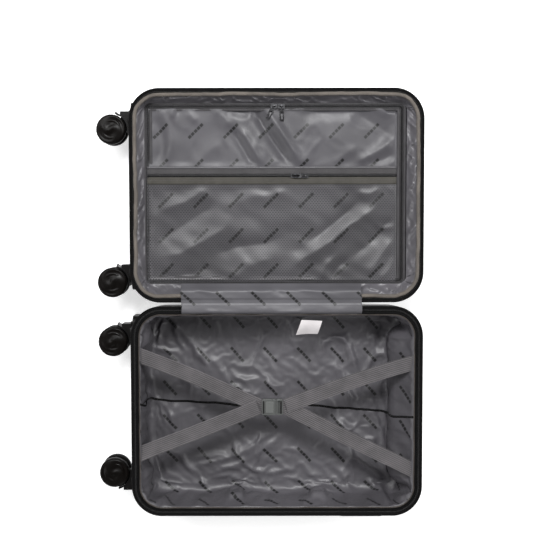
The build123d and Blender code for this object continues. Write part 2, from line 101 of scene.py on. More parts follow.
def fold_field(x, y, folds):
    """Sum of soft cloth folds. Each is (x0, y0, x1, y1, width, height, taper): a ridge from one point to another."""
    h = np.zeros(np.broadcast(x, y).shape)
    for x0, y0, x1, y1, w, a, tp in folds:
        dx, dy = x1 - x0, y1 - y0
        ln = math.hypot(dx, dy)
        t = ((x - x0) * dx + (y - y0) * dy) / ln**2
        s = ((y - y0) * dx - (x - x0) * dy) / ln
        # a gently wandering centre line keeps it from looking ruled
        s = s + 0.18 * w * np.sin(5.0 * t + x0 * 0.1)
        ww = w * (0.75 + 0.5 * np.clip(t, 0, 1))
        end = sstep(-0.06, 0.16, t) * (1 - sstep(1 - tp, 1.06, t))
        h += a * end * np.exp(-((s / ww) ** 2))
    return h


# ------------------------------------------------------------------ meshes
def make(name, V, F, mat, body=None, uv=None, smooth=True):
    me = bpy.data.meshes.new(name)
    V = np.asarray(V, float) / 1000 + OFF
    me.from_pydata(V.tolist(), [], F)
    if smooth:
        me.polygons.foreach_set("use_smooth", [True] * len(me.polygons))
    if uv is not None:
        layer = me.uv_layers.new(name="UVMap")
        idx = np.zeros(len(me.loops), int)
        me.loops.foreach_get("vertex_index", idx)
        layer.data.foreach_set("uv", (np.asarray(uv, float)[idx] / 1000).ravel())
    me.update()
    ob = bpy.data.objects.new(name, me)
    bpy.context.scene.collection.objects.link(ob)
    me.materials.append(mat)
    if body:
        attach(ob, body)
    return ob


def grid_faces(nu, nv, wrap_u=False, wrap_v=False, start=0, flip=False):
    """Faces of a grid of nu by nv points, index u * nv + v."""
    f = []
    for i in range(nu if wrap_u else nu - 1):
        for j in range(nv if wrap_v else nv - 1):
            a = start + i * nv + j
            b = start + ((i + 1) % nu) * nv + j
            c = start + ((i + 1) % nu) * nv + (j + 1) % nv
            d = start + i * nv + (j + 1) % nv
            f.append((a, d, c, b) if flip else (a, b, c, d))
    return f


def outline(step, r=R, a=A, b=B):
    """Points round a rounded rectangle: core points, outward normals and distance along it at radius r."""
    core, nrm, dist = [], [], []
    s = 0.0

    def straight(p, q, n):
        nonlocal s
        ln = math.hypot(q[0] - p[0], q[1] - p[1])
        k = max(2, round(ln / step))
        for i in range(k):
            t = i / k
            core.append((p[0] + (q[0] - p[0]) * t, p[1] + (q[1] - p[1]) * t))
            nrm.append(n)
            dist.append(s + ln * t)
        s += ln

    def arc(c, a0):
        nonlocal s
        ln = r * math.pi / 2
        k = max(6, round(ln / step))
        for i in range(k):
            t = a0 + (math.pi / 2) * i / k
            core.append(c)
            nrm.append((math.cos(t), math.sin(t)))
            dist.append(s + ln * i / k)
        s += ln

    straight((a, -b), (a, b), (1, 0))
    arc((a, b), 0)
    straight((a, b), (-a, b), (0, 1))
    arc((-a, b), math.pi / 2)
    straight((-a, b), (-a, -b), (-1, 0))
    arc((-a, -b), math.pi)
    straight((-a, -b), (a, -b), (0, -1))
    arc((a, -b), 1.5 * math.pi)
    return np.array(core), np.array(nrm), np.array(dist), s


def ring_sweep(step, profile, cy, r=R):
    """Sweeps a closed profile round the outline. profile(s, total, core, nrm) gives (n, k, 2) of inset and height."""
    core, nrm, dist, total = outline(step, r)
    prof = profile(dist, total, core, nrm)
    k = prof.shape[1]
    rad = (R - prof[:, :, 0])[:, :, None]
    xy = core[:, None, :] + rad * nrm[:, None, :]
    V = np.concatenate([xy, prof[:, :, 1:2]], axis=2)
    V[:, :, 1] += cy
    uv = np.stack([np.repeat(dist[:, None], k, 1), np.tile(np.arange(k) * 2.0, (len(dist), 1))], 2)
    return V.reshape(-1, 3), grid_faces(len(dist), k, True, True), uv.reshape(-1, 2), (core, nrm, dist, total)


# ------------------------------------------------------------------ node materials
class Mat:
    """A Principled material with small helpers for procedural detail."""

    def __init__(self, name, base, rough, metal=0.0, spec=0.5, sheen=0.0, coat=0.0, coat_rough=0.1, aniso=0.0):
        self.m = bpy.data.materials.new(name)
        self.m.use_nodes = True
        self.t = self.m.node_tree
        self.b = self.t.nodes["Principled BSDF"]
        self.base = base
        i = self.b.inputs
        i["Base Color"].default_value = (*base, 1)
        i["Roughness"].default_value = rough
        i["Metallic"].default_value = metal
        i["Specular IOR Level"].default_value = spec
        i["Sheen Weight"].default_value = sheen
        if sheen:
            i["Sheen Roughness"].default_value = 0.4
        i["Coat Weight"].default_value = coat
        i["Coat Roughness"].default_value = coat_rough
        if aniso:
            i["Anisotropic"].default_value = aniso
        self.rough = rough
        self.normal = None
        self.coord = {}

    def node(self, kind, **props):
        n = self.t.nodes.new(kind)
        for k, v in props.items():
            setattr(n, k, v)
        return n

    def link(self, a, b):
        self.t.links.new(a, b)

    def co(self, which="Object"):
        if which not in self.coord:
            if which == "UV":
                n = self.node("ShaderNodeUVMap", uv_map="UVMap")
                self.coord[which] = n.outputs["UV"]
            else:
                self.coord[which] = self.node("ShaderNodeTexCoord").outputs[which]
        return self.coord[which]

    def math(self, op, a, b=None, c=None, clamp=False):
        n = self.node("ShaderNodeMath", operation=op, use_clamp=clamp)
        for k, v in enumerate((a, b, c)):
            if v is None:
                continue
            if isinstance(v, (int, float)):
                n.inputs[k].default_value = v
            else:
                self.link(v, n.inputs[k])
        return n.outputs[0]

    def noise(self, scale, detail=3.0, rough=0.5, which="Object", stretch=None):
        v = self.co(which)
        if stretch:
            mp = self.node("ShaderNodeMapping")
            mp.inputs["Scale"].default_value = stretch
            self.link(v, mp.inputs["Vector"])
            v = mp.outputs[0]
        n = self.node("ShaderNodeTexNoise")
        n.inputs["Scale"].default_value = scale
        n.inputs["Detail"].default_value = detail
        n.inputs["Roughness"].default_value = rough
        self.link(v, n.inputs["Vector"])
        return n.outputs["Fac"]

    def span(self, x, lo, hi, a=0.0, b=1.0):
        n = self.node("ShaderNodeMapRange")
        for k, v in zip(("From Min", "From Max", "To Min", "To Max"), (lo, hi, a, b)):
            n.inputs[k].default_value = v
        self.link(x, n.inputs["Value"])
        return n.outputs["Result"]

    def bump(self, height, strength, distance=0.001):
        n = self.node("ShaderNodeBump")
        n.inputs["Strength"].default_value = strength
        n.inputs["Distance"].default_value = distance
        self.link(height, n.inputs["Height"])
        if self.normal is not None:
            self.link(self.normal, n.inputs["Normal"])
        self.normal = n.outputs["Normal"]
        self.link(self.normal, self.b.inputs["Normal"])
        return self

    def mixcol(self, fac, c1, c2):
        n = self.node("ShaderNodeMix", data_type="RGBA")
        if isinstance(fac, (int, float)):
            n.inputs[0].default_value = fac
        else:
            self.link(fac, n.inputs[0])
        for k, c in ((6, c1), (7, c2)):
            if isinstance(c, tuple):
                n.inputs[k].default_value = (*c, 1)
            else:
                self.link(c, n.inputs[k])
        return n.outputs[2]

    def color(self, sock):
        self.link(sock, self.b.inputs["Base Color"])
        self.col = sock
        return self

    def mottled(self, scale, amount, which="Object"):
        f = self.noise(scale, 4, 0.6, which)
        lo = tuple(max(0, c * (1 - amount)) for c in self.base)
        hi = tuple(min(1, c * (1 + amount)) for c in self.base)
        return self.color(self.mixcol(self.span(f, 0.3, 0.7), lo, hi))

    def roughen(self, scale, lo, hi, which="Object", detail=4):
        f = self.noise(scale, detail, 0.6, which)
        self.link(self.span(f, 0.3, 0.7, lo, hi), self.b.inputs["Roughness"])
        return self

    def weave(self, pitch_u, pitch_v, strength, which="UV", diagonal=False, distance=0.0002):
        """Threads crossing, from the cloth's own coordinates in metres."""
        s = self.node("ShaderNodeSeparateXYZ")
        self.link(self.co(which), s.inputs[0])
        u, v = s.outputs[0], s.outputs[1]
        if diagonal:
            u = self.math("ADD", u, v)
        su = self.math("SINE", self.math("MULTIPLY", u, 2 * math.pi / pitch_u))
        sv = self.math("SINE", self.math("MULTIPLY", v, 2 * math.pi / pitch_v))
        h = self.math("MULTIPLY", su, sv) if not diagonal else su
        return self.bump(h, strength, distance)


def satin(name, base, rough, angle, marks=True, pitch=0.0578, mark_col=0.03, sheen=0.0, shift=(0.31, 0.17), spec=0.55, thread=True):
    """Thin satin lining cloth with broad patches of painted sheen and shade, and a plain printed dash repeated on a
    square lattice.
    """
    M = Mat(name, base, rough, spec=spec, sheen=sheen)
    # broad lighter and darker patches, about 100 mm across, are painted satin sheen and shade
    lo = tuple(c * 0.80 for c in base)
    hi = tuple(min(1, c * 1.18) for c in base)
    col = M.mixcol(M.span(M.noise(9, 3, 0.5), 0.32, 0.68), lo, hi)
    if marks:
        s = M.node("ShaderNodeSeparateXYZ")
        M.link(M.co("UV"), s.inputs[0])
        cell = []
        for k, off in ((0, shift[0]), (1, shift[1])):
            f = M.math("FRACT", M.math("ADD", M.math("MULTIPLY", s.outputs[k], 1 / pitch), 40 + off))
            cell.append(M.math("MULTIPLY", M.math("SUBTRACT", f, 0.5), pitch))
        ca, sa = math.cos(angle), math.sin(angle)
        a = M.math("ADD", M.math("MULTIPLY", cell[0], ca), M.math("MULTIPLY", cell[1], sa))
        b = M.math("SUBTRACT", M.math("MULTIPLY", cell[1], ca), M.math("MULTIPLY", cell[0], sa))
        ln = M.span(M.math("ABSOLUTE", a), 0.0165, 0.0175, 1, 0)
        wd = M.span(M.math("ABSOLUTE", b), 0.0018, 0.0030, 1, 0)
        seg = M.math("ABSOLUTE", M.math("SUBTRACT", M.math("FRACT", M.math("ADD", M.math("MULTIPLY", a, 1 / 0.0068), 10.5)), 0.5))
        brk = M.span(seg, 0.36, 0.42, 1, 0.25)
        mask = M.math("MULTIPLY", M.math("MULTIPLY", ln, wd), M.math("MULTIPLY", brk, 0.97))
        col = M.mixcol(mask, col, tuple(c * mark_col for c in base))
    M.color(col)
    M.roughen(60, rough - 0.05, rough + 0.07)
    if thread:
        M.weave(0.0009, 0.0009, 0.12, distance=0.00012)
    M.bump(M.noise(140, 3, 0.6), 0.16, 0.0004)
    return M


def plastic(name, base, rough, grain=900, grain_s=0.12, coat=0.0, spec=0.5):
    M = Mat(name, base, rough, spec=spec, coat=coat)
    M.mottled(35, 0.12)
    M.roughen(80, max(0.02, rough - 0.06), rough + 0.08)
    M.bump(M.noise(grain, 2, 0.5), grain_s, 0.0002)
    return M


def metal(name, base, rough):
    M = Mat(name, base, rough, metal=1.0)
    M.mottled(120, 0.12)
    M.roughen(260, rough - 0.08, rough + 0.12)
    M.bump(M.noise(600, 3, 0.6), 0.06, 0.0002)
    return M


LIN = (0.067, 0.0645, 0.070)
LIN_B = (0.067, 0.064, 0.0715)
M_LINING_BASE = satin("lining_satin_base", LIN_B, 0.44, math.radians(-47), shift=(0.66, 0.15))
M_LINING_LID = satin("lining_satin_lid", (0.086, 0.0825, 0.091), 0.36, math.radians(-45), marks=False)
M_DIVIDER = satin("divider_satin", (0.056, 0.054, 0.0605), 0.40, math.radians(45), shift=(0.797, 0.579), spec=0.37)
# the cloth under the net is the divider's own cloth, made darker here as painted shade of the net over it
M_POCKET_SHADE = satin("pocket_satin_shaded", (0.024, 0.0235, 0.026), 0.4, math.radians(45), mark_col=0.05, shift=(0.66, 0.55))
M_FLAP = satin("flap_satin", (0.076, 0.074, 0.082), 0.46, math.radians(-47), shift=(0.02, 0.17), spec=0.42)
M_HEM = satin("hem_satin", (0.062, 0.06, 0.066), 0.4, 0, marks=False)

M_SHELL = plastic("shell_polycarbonate", (0.0035, 0.0033, 0.0035), 0.36, grain=1400, grain_s=0.2, spec=0.14)
M_SHELL.bump(M_SHELL.noise(420, 2, 0.4), 0.10, 0.0004)
M_CAP = plastic("cap_plastic", (0.005, 0.005, 0.0054), 0.42, spec=0.22)
M_CASTER = plastic("caster_nylon", (0.003, 0.0026, 0.0025), 0.4, grain=800, spec=0.16)
M_HUB = plastic("hub_gloss", (0.003, 0.0023, 0.0019), 0.33, grain=200, grain_s=0.02, spec=0.11)
M_TYRE = plastic("tyre_polyurethane", (0.003, 0.0027, 0.0025), 0.5, grain=500, spec=0.1)
M_GRIP = plastic("grip_soft_touch", (0.019, 0.019, 0.02), 0.6, grain=700, grain_s=0.25)
M_BTN = plastic("release_button", (0.05, 0.05, 0.053), 0.4)
M_LOCK = plastic("lock_body", (0.014, 0.014, 0.015), 0.28)
M_DIAL = plastic("lock_dials", (0.035, 0.035, 0.037), 0.45)
M_BUCKLE = plastic("buckle_acetal", (0.066, 0.069, 0.067), 0.36, grain=900, grain_s=0.1)
M_CHROME = metal("release_chrome", (0.6, 0.6, 0.61), 0.16)
M_ALU = metal("tube_anodised", (0.5, 0.51, 0.52), 0.3)
M_GUN = metal("slider_gunmetal", (0.06, 0.06, 0.063), 0.32)
M_PULL = metal("pull_gunmetal", (0.11, 0.11, 0.115), 0.26)
M_SCREW = metal("screw_steel", (0.28, 0.28, 0.29), 0.4)

M_TAPE = Mat("zip_tape_black", (0.0018, 0.0017, 0.0018), 0.7, spec=0.09)
M_TAPE.mottled(60, 0.25)
M_TAPE.weave(0.0011, 0.0011, 0.35, diagonal=True, distance=0.0004)
M_COIL = Mat("zip_coil_black", (0.008, 0.0078, 0.008), 0.36, spec=0.25)
M_COIL.mottled(90, 0.2)
M_COIL.bump(M_COIL.noise(900, 2, 0.5), 0.1, 0.0002)
M_WELT = Mat("rim_welt_black", (0.006, 0.006, 0.0065), 0.42, spec=0.25)
M_WELT.mottled(70, 0.2)
M_WELT.weave(0.0012, 0.0012, 0.3, diagonal=True, distance=0.0003)
M_DTAPE = Mat("divider_tape_charcoal", (0.042, 0.040, 0.043), 0.6, spec=0.3)
M_DTAPE.mottled(60, 0.2)
M_DTAPE.weave(0.0014, 0.0009, 0.4, distance=0.0004)
M_DCOIL = Mat("divider_coil", (0.009, 0.0088, 0.0095), 0.4, spec=0.25)
M_DCOIL.mottled(60, 0.2)
M_DCOIL.bump(M_DCOIL.noise(900, 2, 0.5), 0.1, 0.0002)
M_GTAPE = Mat("pocket_tape_grey", (0.050, 0.048, 0.050), 0.6, spec=0.3)
M_GTAPE.mottled(60, 0.15)
M_GTAPE.weave(0.0016, 0.0010, 0.5, distance=0.0005)
M_BTAPE = Mat("pocket_tape_beige", (0.056, 0.0525, 0.045), 0.62, spec=0.3)
M_BTAPE.mottled(60, 0.14)
M_BTAPE.weave(0.0016, 0.0010, 0.5, distance=0.0005)
M_BIND = Mat("edge_binding_beige", (0.092, 0.079, 0.067), 0.62, sheen=0.1)
M_BIND.mottled(28, 0.35)
M_BIND.weave(0.0016, 0.003, 0.5, distance=0.0005)
M_NET = satin("pocket_net", (0.074, 0.0715, 0.078), 0.42, math.radians(45), mark_col=0.1, shift=(0.66, 0.55), spec=0.5, thread=False)
M_WEB = Mat("strap_webbing", (0.118, 0.113, 0.12), 0.62, sheen=0.3)
# light and dark stripes across the band, in step with its raised ribs: painted light and shade on the ribs, with a fine
# diagonal twill and random tone of the weave
_s = M_WEB.node("ShaderNodeSeparateXYZ")
M_WEB.link(M_WEB.co("UV"), _s.inputs[0])
_r = M_WEB.math("SINE", M_WEB.math("MULTIPLY", _s.outputs[1], 2 * math.pi * 8 / 0.0246))
_d = M_WEB.math("SINE", M_WEB.math("MULTIPLY", M_WEB.math("ADD", _s.outputs[0], _s.outputs[1]), 2 * math.pi / 0.0026))
_f = M_WEB.math("ADD", M_WEB.math("MULTIPLY", _r, 0.22), M_WEB.math("MULTIPLY", _d, 0.16))
M_WEB.color(M_WEB.mixcol(M_WEB.span(M_WEB.math("ADD", _f, M_WEB.math("MULTIPLY", M_WEB.noise(40), 0.5)), 0.0, 0.6), (0.024, 0.0225, 0.024), (0.132, 0.122, 0.129)))
M_WEB.weave(0.0018, 0.0014, 0.6, distance=0.0005)
M_LABEL = Mat("label_white", (0.55, 0.525, 0.53), 0.6)
M_LABEL.mottled(80, 0.03)
M_LABEL.weave(0.0009, 0.0009, 0.15, distance=0.0002)
M_EDGE = Mat("base_edge_brown", (0.032, 0.024, 0.019), 0.6, sheen=0.2)
M_EDGE.mottled(45, 0.4)
M_EDGE.weave(0.0016, 0.003, 0.5, distance=0.0005)
M_THREAD = Mat("stitch_thread", (0.10, 0.096, 0.1), 0.6)
M_THREAD.mottled(200, 0.2)
M_THREAD_B = Mat("stitch_black", (0.006, 0.006, 0.006), 0.6, spec=0.2)
M_THREAD_B.mottled(200, 0.2)
M_HINGE = Mat("hinge_webbing", (0.004, 0.004, 0.0042), 0.7, spec=0.2)
M_HINGE.mottled(60, 0.2)
M_HINGE.weave(0.0018, 0.0012, 0.5, distance=0.0005)


def paint(mat, *nodes):
    for n in nodes:
        o = NODES[n]
        o.data.materials.clear()
        o.data.materials.append(mat.m)


paint(M_SHELL, "base_shell", "lid_shell")
paint(M_CAP, "side_handle_caps", "top_handle_caps", "trolley_bezel", "trolley_foot_brackets")
paint(M_CASTER, "base_caster_housings", "lid_caster_housings")
paint(M_GRIP, "trolley_grip", "side_handle", "top_handle")
paint(M_BTN, "trolley_button")
paint(M_LOCK, "lock_housing")
paint(M_DIAL, "lock_dial_1", "lock_dial_2", "lock_dial_3")
paint(M_CHROME, "lock_release")
paint(M_ALU, "trolley_outer_tubes", "trolley_middle_tubes", "trolley_inner_tubes")
paint(M_SCREW, "base_screws", "lid_screws")
M_BBTN = plastic("buckle_button_acetal", (0.095, 0.099, 0.096), 0.34, grain=900, grain_s=0.1)
paint(M_BUCKLE, "buckle_socket", "buckle_plug")
paint(M_BBTN, "buckle_button")
paint(M_GUN, "main_zip_slider_left", "main_zip_slider_right", "divider_slider_left", "divider_slider_right", "pocket_slider")
paint(M_PULL, "divider_pull_left", "divider_pull_right", "pocket_pull")
for _k in ("base_inner", "base_outer", "lid_inner", "lid_outer"):
    paint(M_CASTER, f"caster_{_k}_fork")
    paint(M_HUB, f"caster_{_k}_hubs")
    paint(M_TYRE, f"caster_{_k}_tyres")


def soften(name, width, angle=35, segments=2):
    """Rounds the sharp edges of a moulded CAD piece."""
    o = NODES[name]
    w = o.modifiers.new("weld", "WELD")
    w.merge_threshold = 0.00001
    b = o.modifiers.new("edges", "BEVEL")
    b.width = width / 1000
    b.segments = segments
    b.limit_method = "ANGLE"
    b.angle_limit = math.radians(angle)
    b.harden_normals = True


for _n in ("buckle_socket", "buckle_plug", "buckle_button", "lock_housing", "trolley_bezel", "side_handle", "top_handle", "side_handle_caps", "top_handle_caps"):
    soften(_n, 0.5)

# ------------------------------------------------------------------ tubs of cloth
def side_pt(side, u, rref):
    """A point u of the way along one side, from mid corner to mid corner: core point and normal."""
    arc = rref * math.pi / 4
    half = A if side in (0, 2) else B
    total = 2 * arc + 2 * half
    d = u * total
    if d < arc:
        ang, along = -math.pi / 4 + d / rref, -half
    elif d < arc + 2 * half:
        ang, along = 0.0, -half + d - arc
    else:
        ang, along = (d - arc - 2 * half) / rref, half
    # local frame of the bottom side: along +x, normal -y
    n = (math.sin(ang), -math.cos(ang))
    c = (along, -(B if side in (0, 2) else A))
    t = side * math.pi / 2
    ct, st = math.cos(t), math.sin(t)
    return (c[0] * ct - c[1] * st, c[0] * st + c[1] * ct), (n[0] * ct - n[1] * st, n[0] * st + n[1] * ct)


def tub(nx, ny, rows, rref=28.0):
    """A grid floor with walls. rows is a list of (inset, z), from the floor's edge up. Returns points, faces, uv and the top loop."""
    loops = []
    for side, n in ((0, nx), (1, ny), (2, nx), (3, ny)):
        loops.append([side_pt(side, k / n, rref) for k in range(n)])
    flat = [p for l in loops for p in l]
    core = np.array([p[0] for p in flat])
    nrm = np.array([p[1] for p in flat])
    d0, z0 = rows[0]
    edge = core + (R - d0) * nrm
    n_loop = len(flat)
    bot = edge[: nx + 1]
    right = edge[nx : nx + ny + 1]
    top = edge[nx + ny : 2 * nx + ny + 1][::-1]
    left = np.concatenate([edge[2 * nx + ny :], edge[:1]])[::-1]
    index = np.full((nx + 1, ny + 1), -1)
    V, UV = [], []
    # boundary first, in loop order
    for k in range(n_loop):
        V.append((*edge[k], z0))
        UV.append(tuple(edge[k]))
    for k in range(nx + 1):
        index[k, 0] = k
    for k in range(ny + 1):
        index[nx, k] = nx + k
    for k in range(nx + 1):
        index[nx - k, ny] = nx + ny + k
    for k in range(ny + 1):
        index[0, ny - k] = (2 * nx + ny + k) % n_loop
    for i in range(1, nx):
        for j in range(1, ny):
            u, v = i / nx, j / ny
            p = (
                (1 - v) * bot[i] + v * top[i] + (1 - u) * left[j] + u * right[j]
                - ((1 - u) * (1 - v) * bot[0] + u * (1 - v) * bot[nx] + u * v * top[nx] + (1 - u) * v * top[0])
            )
            index[i, j] = len(V)
            V.append((*p, z0))
            UV.append(tuple(p))
    F = []
    for i in range(nx):
        for j in range(ny):
            F.append((index[i, j], index[i + 1, j], index[i + 1, j + 1], index[i, j + 1]))
    prev = list(range(n_loop))
    run = 0.0
    for k in range(1, len(rows)):
        d, z = rows[k]
        run += math.hypot(d - rows[k - 1][0], z - rows[k - 1][1])
        ring = core + (R - d) * nrm
        out = edge + run * nrm
        start = len(V)
        for q in range(n_loop):
            V.append((*ring[q], z))
            UV.append(tuple(out[q]))
        cur = list(range(start, start + n_loop))
        for q in range(n_loop):
            w = (q + 1) % n_loop
            F.append((prev[w], prev[q], cur[q], cur[w]))
        prev = cur
    return np.array(V), F, np.array(UV), prev


def wall_rows(top_in, top_z, low_in, floor_z, radius, step):
    """Insets and heights from the floor's edge up to the rim, through a rounded corner."""
    rows = []
    k = max(4, round(radius * math.pi / 2 / step))
    for i in range(k + 1):
        t = math.pi / 2 * i / k
        rows.append((low_in + radius - radius * math.sin(t), floor_z + radius - radius * math.cos(t)))
    z = floor_z + radius
    n = max(4, round((top_z - z) / step))
    for i in range(1, n + 1):
        t = i / n
        rows.append((low_in + (top_in - low_in) * t, z + (top_z - z) * t))
    return rows


BASE_FLOOR = 28.6


def base_limits(V):
    """Keeps the base lining off the trolley cup, the caster corners and the handle guides. V is about the base half's centre."""
    x, y, z = V[:, 0], V[:, 1], V[:, 2]
    # the end wall leans in over the trolley cup, right across the case
    lim = 228.5 - (228.5 - 196.0) * (1 - sstep(52, 110, z))
    across = 1 - sstep(118, 150, np.abs(y))
    lim = lim + (1 - across) * 40
    x = np.where(x > lim, lim, x)
    # caster corners at the other end
    lim2 = -229.5 + 11.5 * (1 - sstep(80, 104, z)) * sstep(92, 112, np.abs(y))
    x = np.where(x < lim2, lim2, x)
    # guide boxes of the side handle
    for gx in (-70, 70):
        near = (1 - sstep(7, 22, np.abs(x - gx))) * (1 - sstep(12, 30, np.abs(z - 57)))
        ly = -165 + 16.5 * near
        y = np.where((y < ly) & (near > 0.02), ly, y)
    V[:, 0], V[:, 1] = x, y
    return V


def on_base(u, v):
    """Places a point of the base fold plan, in its own units, about the base half's centre."""
    return -304.6 + 0.3745 * u, 0.84 - 0.3745 * v + HALF_Y


BASE_FOLDS = [
    ([(300, 90), (278, 150), (270, 215)], 8, 6), ([(330, 100), (430, 200), (490, 300), (520, 350)], 9, 7),
    ([(500, 240), (560, 330), (600, 400), (700, 445), (770, 440)], 10, 6), ([(595, 330), (640, 370), (720, 375), (800, 395), (835, 455)], 10, 8),
    ([(560, 290), (600, 350), (640, 420)], 13, -4), ([(1030, 250), (1032, 200), (1080, 168), (1130, 182), (1160, 250), (1195, 335)], 9, 8),
    ([(1085, 215), (1140, 310)], 13, -5), ([(1240, 150), (1290, 180), (1315, 235)], 8, 6), ([(1258, 280), (1298, 240), (1340, 270), (1330, 330), (1290, 420)], 7, 5),
    ([(1130, 430), (1200, 470), (1290, 470)], 8, 4), ([(1080, 560), (1160, 600), (1230, 655), (1310, 640)], 9, 7), ([(760, 565), (742, 640), (690, 690), (560, 735), (420, 775)], 12, 9),
    ([(850, 615), (780, 680), (640, 760), (470, 815)], 14, 7), ([(1090, 690), (1160, 720), (1250, 790), (1345, 845)], 9, 8), ([(1225, 830), (1290, 880), (1335, 955)], 8, 7),
    ([(290, 640), (252, 700), (236, 790), (252, 850)], 9, 6), ([(250, 830), (340, 855), (520, 850)], 9, 4), ([(1040, 900), (1100, 845), (1160, 800)], 9, 5),
    ([(310, 235), (370, 330), (430, 400), (480, 440)], 10, 7), ([(212, 350), (240, 400), (232, 450)], 7, 5), ([(700, 560), (860, 575), (1000, 640)], 18, -7),
    ([(640, 600), (520, 640), (360, 720)], 16, -5), ([(900, 700), (1000, 760), (1090, 850)], 12, -4), ([(560, 130), (700, 190), (900, 185), (1000, 215)], 12, 3),
    ([(600, 300), (780, 330), (960, 320)], 10, 3), ([(1210, 560), (1300, 590), (1330, 700)], 8, 4), ([(420, 880), (560, 800), (700, 860), (900, 830)], 10, 4),
    ([(940, 860), (1060, 900), (1200, 880)], 10, 4), ([(360, 470), (330, 560), (260, 610)], 12, 5), ([(470, 520), (600, 540), (680, 600)], 12, -4),
]


BASE_FOLDS = [(pts, 1.4 * w, 1.05 * h) for pts, w, h in BASE_FOLDS]


def base_fold_height(x, y):
    """Broad folds of the loose base lining, in case coordinates about the base half's centre."""
    h = curve_folds(x, y, BASE_FOLDS, on_base)
    h += 5.0 * crumple(x, y, 74, 60) + 2.0 * crumple(x, y, 33, 70) + 1.0 * noise2(x, y, 21, 4)
    return h


def make_base_lining():
    fine = 4.4
    rows = wall_rows(12.6, RIM + 0.6, 15.5, BASE_FLOOR, 17, fine)
    nx, ny = 100, 72
    V, F, UV, top = tub(nx, ny, rows)
    cut = V.copy()
    n_top = len(top)
    # start from the tub with broad folds already in it, so that they settle where they belong
    inside = sstep(0, 26, 175 - np.abs(V[:, 1])) * sstep(0, 26, 241 - np.abs(V[:, 0]))
    z = V[:, 2]
    low = 1 - sstep(34, 60, z)
    V[:, 2] += low * np.maximum(0, base_fold_height(V[:, 0], V[:, 1])) * inside
    core_dir = V[:, :2] / np.maximum(1, np.linalg.norm(V[:, :2], axis=1))[:, None]
    along = np.arctan2(V[:, 1] / 175, V[:, 0] / 241) * 200
    wall = sstep(36, 60, z) * (1 - sstep(92, RIM, z))
    push = wall * (3.4 * np.abs(noise2(along, z * 0.35, 26, 5)) + 1.6 * noise2(along, z * 0.5, 11, 6))
    V[:, :2] -= core_dir * push[:, None]
    V = base_limits(V)
    ob = make("base_lining_cloth", V + np.array([0, -HALF_Y, 0]), F, M_LINING_BASE.m, uv=UV + np.array([0, -HALF_Y]))
    drape(ob, set(top), rest_scale=-0.026, frames=40, floor=True)
    me = ob.data
    co = np.zeros(len(me.vertices) * 3)
    me.vertices.foreach_get("co", co)
    co = (co.reshape(-1, 3) - OFF) * 1000 + np.array([0, HALF_Y, 0])
    # never through the shell side: hold it inside the tub
    # small creases that the simulation's mesh is too coarse for
    me.vertices.foreach_set("co", (((co + np.array([0, -HALF_Y, 0])) / 1000 + OFF)).ravel())
    me.update()
    nr = np.zeros(len(me.vertices) * 3)
    me.vertices.foreach_get("normal", nr)
    nr = nr.reshape(-1, 3)
    fx, fy = UV[:, 0], UV[:, 1]
    free = 1 - sstep(96, RIM - 1, co[:, 2])
    floor_part = (1 - sstep(38, 70, co[:, 2])) * inside
    co[:, 2] += floor_part * 0.55 * np.maximum(-4, curve_folds(fx, fy, BASE_FOLDS, on_base))
    tune = (0.7 * crumple(fx, fy, 40, 80) + 0.2 * crumple(fx, fy, 15, 90) - 0.45) * free
    co = co + nr * tune[:, None]
    co = base_limits(co)
    co[:, 2] = np.maximum(co[:, 2], BASE_FLOOR - 0.8)
    lim_x = 241 - 10.5 - 4.6 * (1 - co[:, 2] / RIM)
    lim_y = 175 - 10.5 - 4.6 * (1 - co[:, 2] / RIM)
    co[:, 0] = np.clip(co[:, 0], -lim_x, lim_x)
    co[:, 1] = np.clip(co[:, 1], -lim_y, lim_y)
    keep = np.array(sorted(top))
    co[keep] = cut[keep]
    co = (co + np.array([0, -HALF_Y, 0])) / 1000 + OFF
    me.vertices.foreach_set("co", co.ravel())
    me.update()
    s = ob.modifiers.new("smooth", "SUBSURF")
    s.levels = s.render_levels = 1
    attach(ob, "base")
    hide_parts("base_lining")
    return ob


def drape(ob, pinned, rest_scale, frames, floor):
    """Cloth simulation, applied to the mesh. pinned is a set of vertex numbers."""
    g = ob.vertex_groups.new(name="pin")
    g.add(list(pinned), 1.0, "REPLACE")
    cv, cf, _, _ = tub(26, 20, wall_rows(11.0, RIM + 12, 13.5, BASE_FLOOR - 1.6, 16, 12))
    cv = base_limits(cv.copy())
    cv[:, 2] = np.where(cv[:, 2] < BASE_FLOOR, cv[:, 2] - 0.5, cv[:, 2])
    hull = make("cloth_stop", cv + np.array([0, -HALF_Y, 0]), cf, M_HEM.m)
    hull.modifiers.new("c", "COLLISION")
    hull.collision.thickness_outer = 0.0015
    hull.collision.cloth_friction = 8
    c = ob.modifiers.new("cloth", "CLOTH")
    st = c.settings
    st.quality = 5
    st.mass = 0.12
    st.tension_stiffness = 18
    st.compression_stiffness = 14
    st.shear_stiffness = 6
    st.bending_stiffness = 4.0
    st.tension_damping = 8
    st.compression_damping = 8
    st.bending_damping = 0.6
    st.air_damping = 2.0
    st.vertex_group_mass = "pin"
    st.shrink_min = rest_scale
    c.collision_settings.use_collision = True
    c.collision_settings.distance_min = 0.0015
    c.collision_settings.use_self_collision = False
    sc = bpy.context.scene
    sc.frame_start, sc.frame_end = 1, frames
    c.point_cache.frame_start, c.point_cache.frame_end = 1, frames
    for f in range(1, frames + 1):
        sc.frame_set(f)
    dg = bpy.context.evaluated_depsgraph_get()
    ev = ob.evaluated_get(dg)
    me = ev.to_mesh()
    co = np.zeros(len(me.vertices) * 3)
    me.vertices.foreach_get("co", co)
    ev.to_mesh_clear()
    ob.modifiers.remove(c)
    ob.data.vertices.foreach_set("co", co)
    ob.data.update()
    bpy.data.objects.remove(hull)
    sc.frame_set(1)


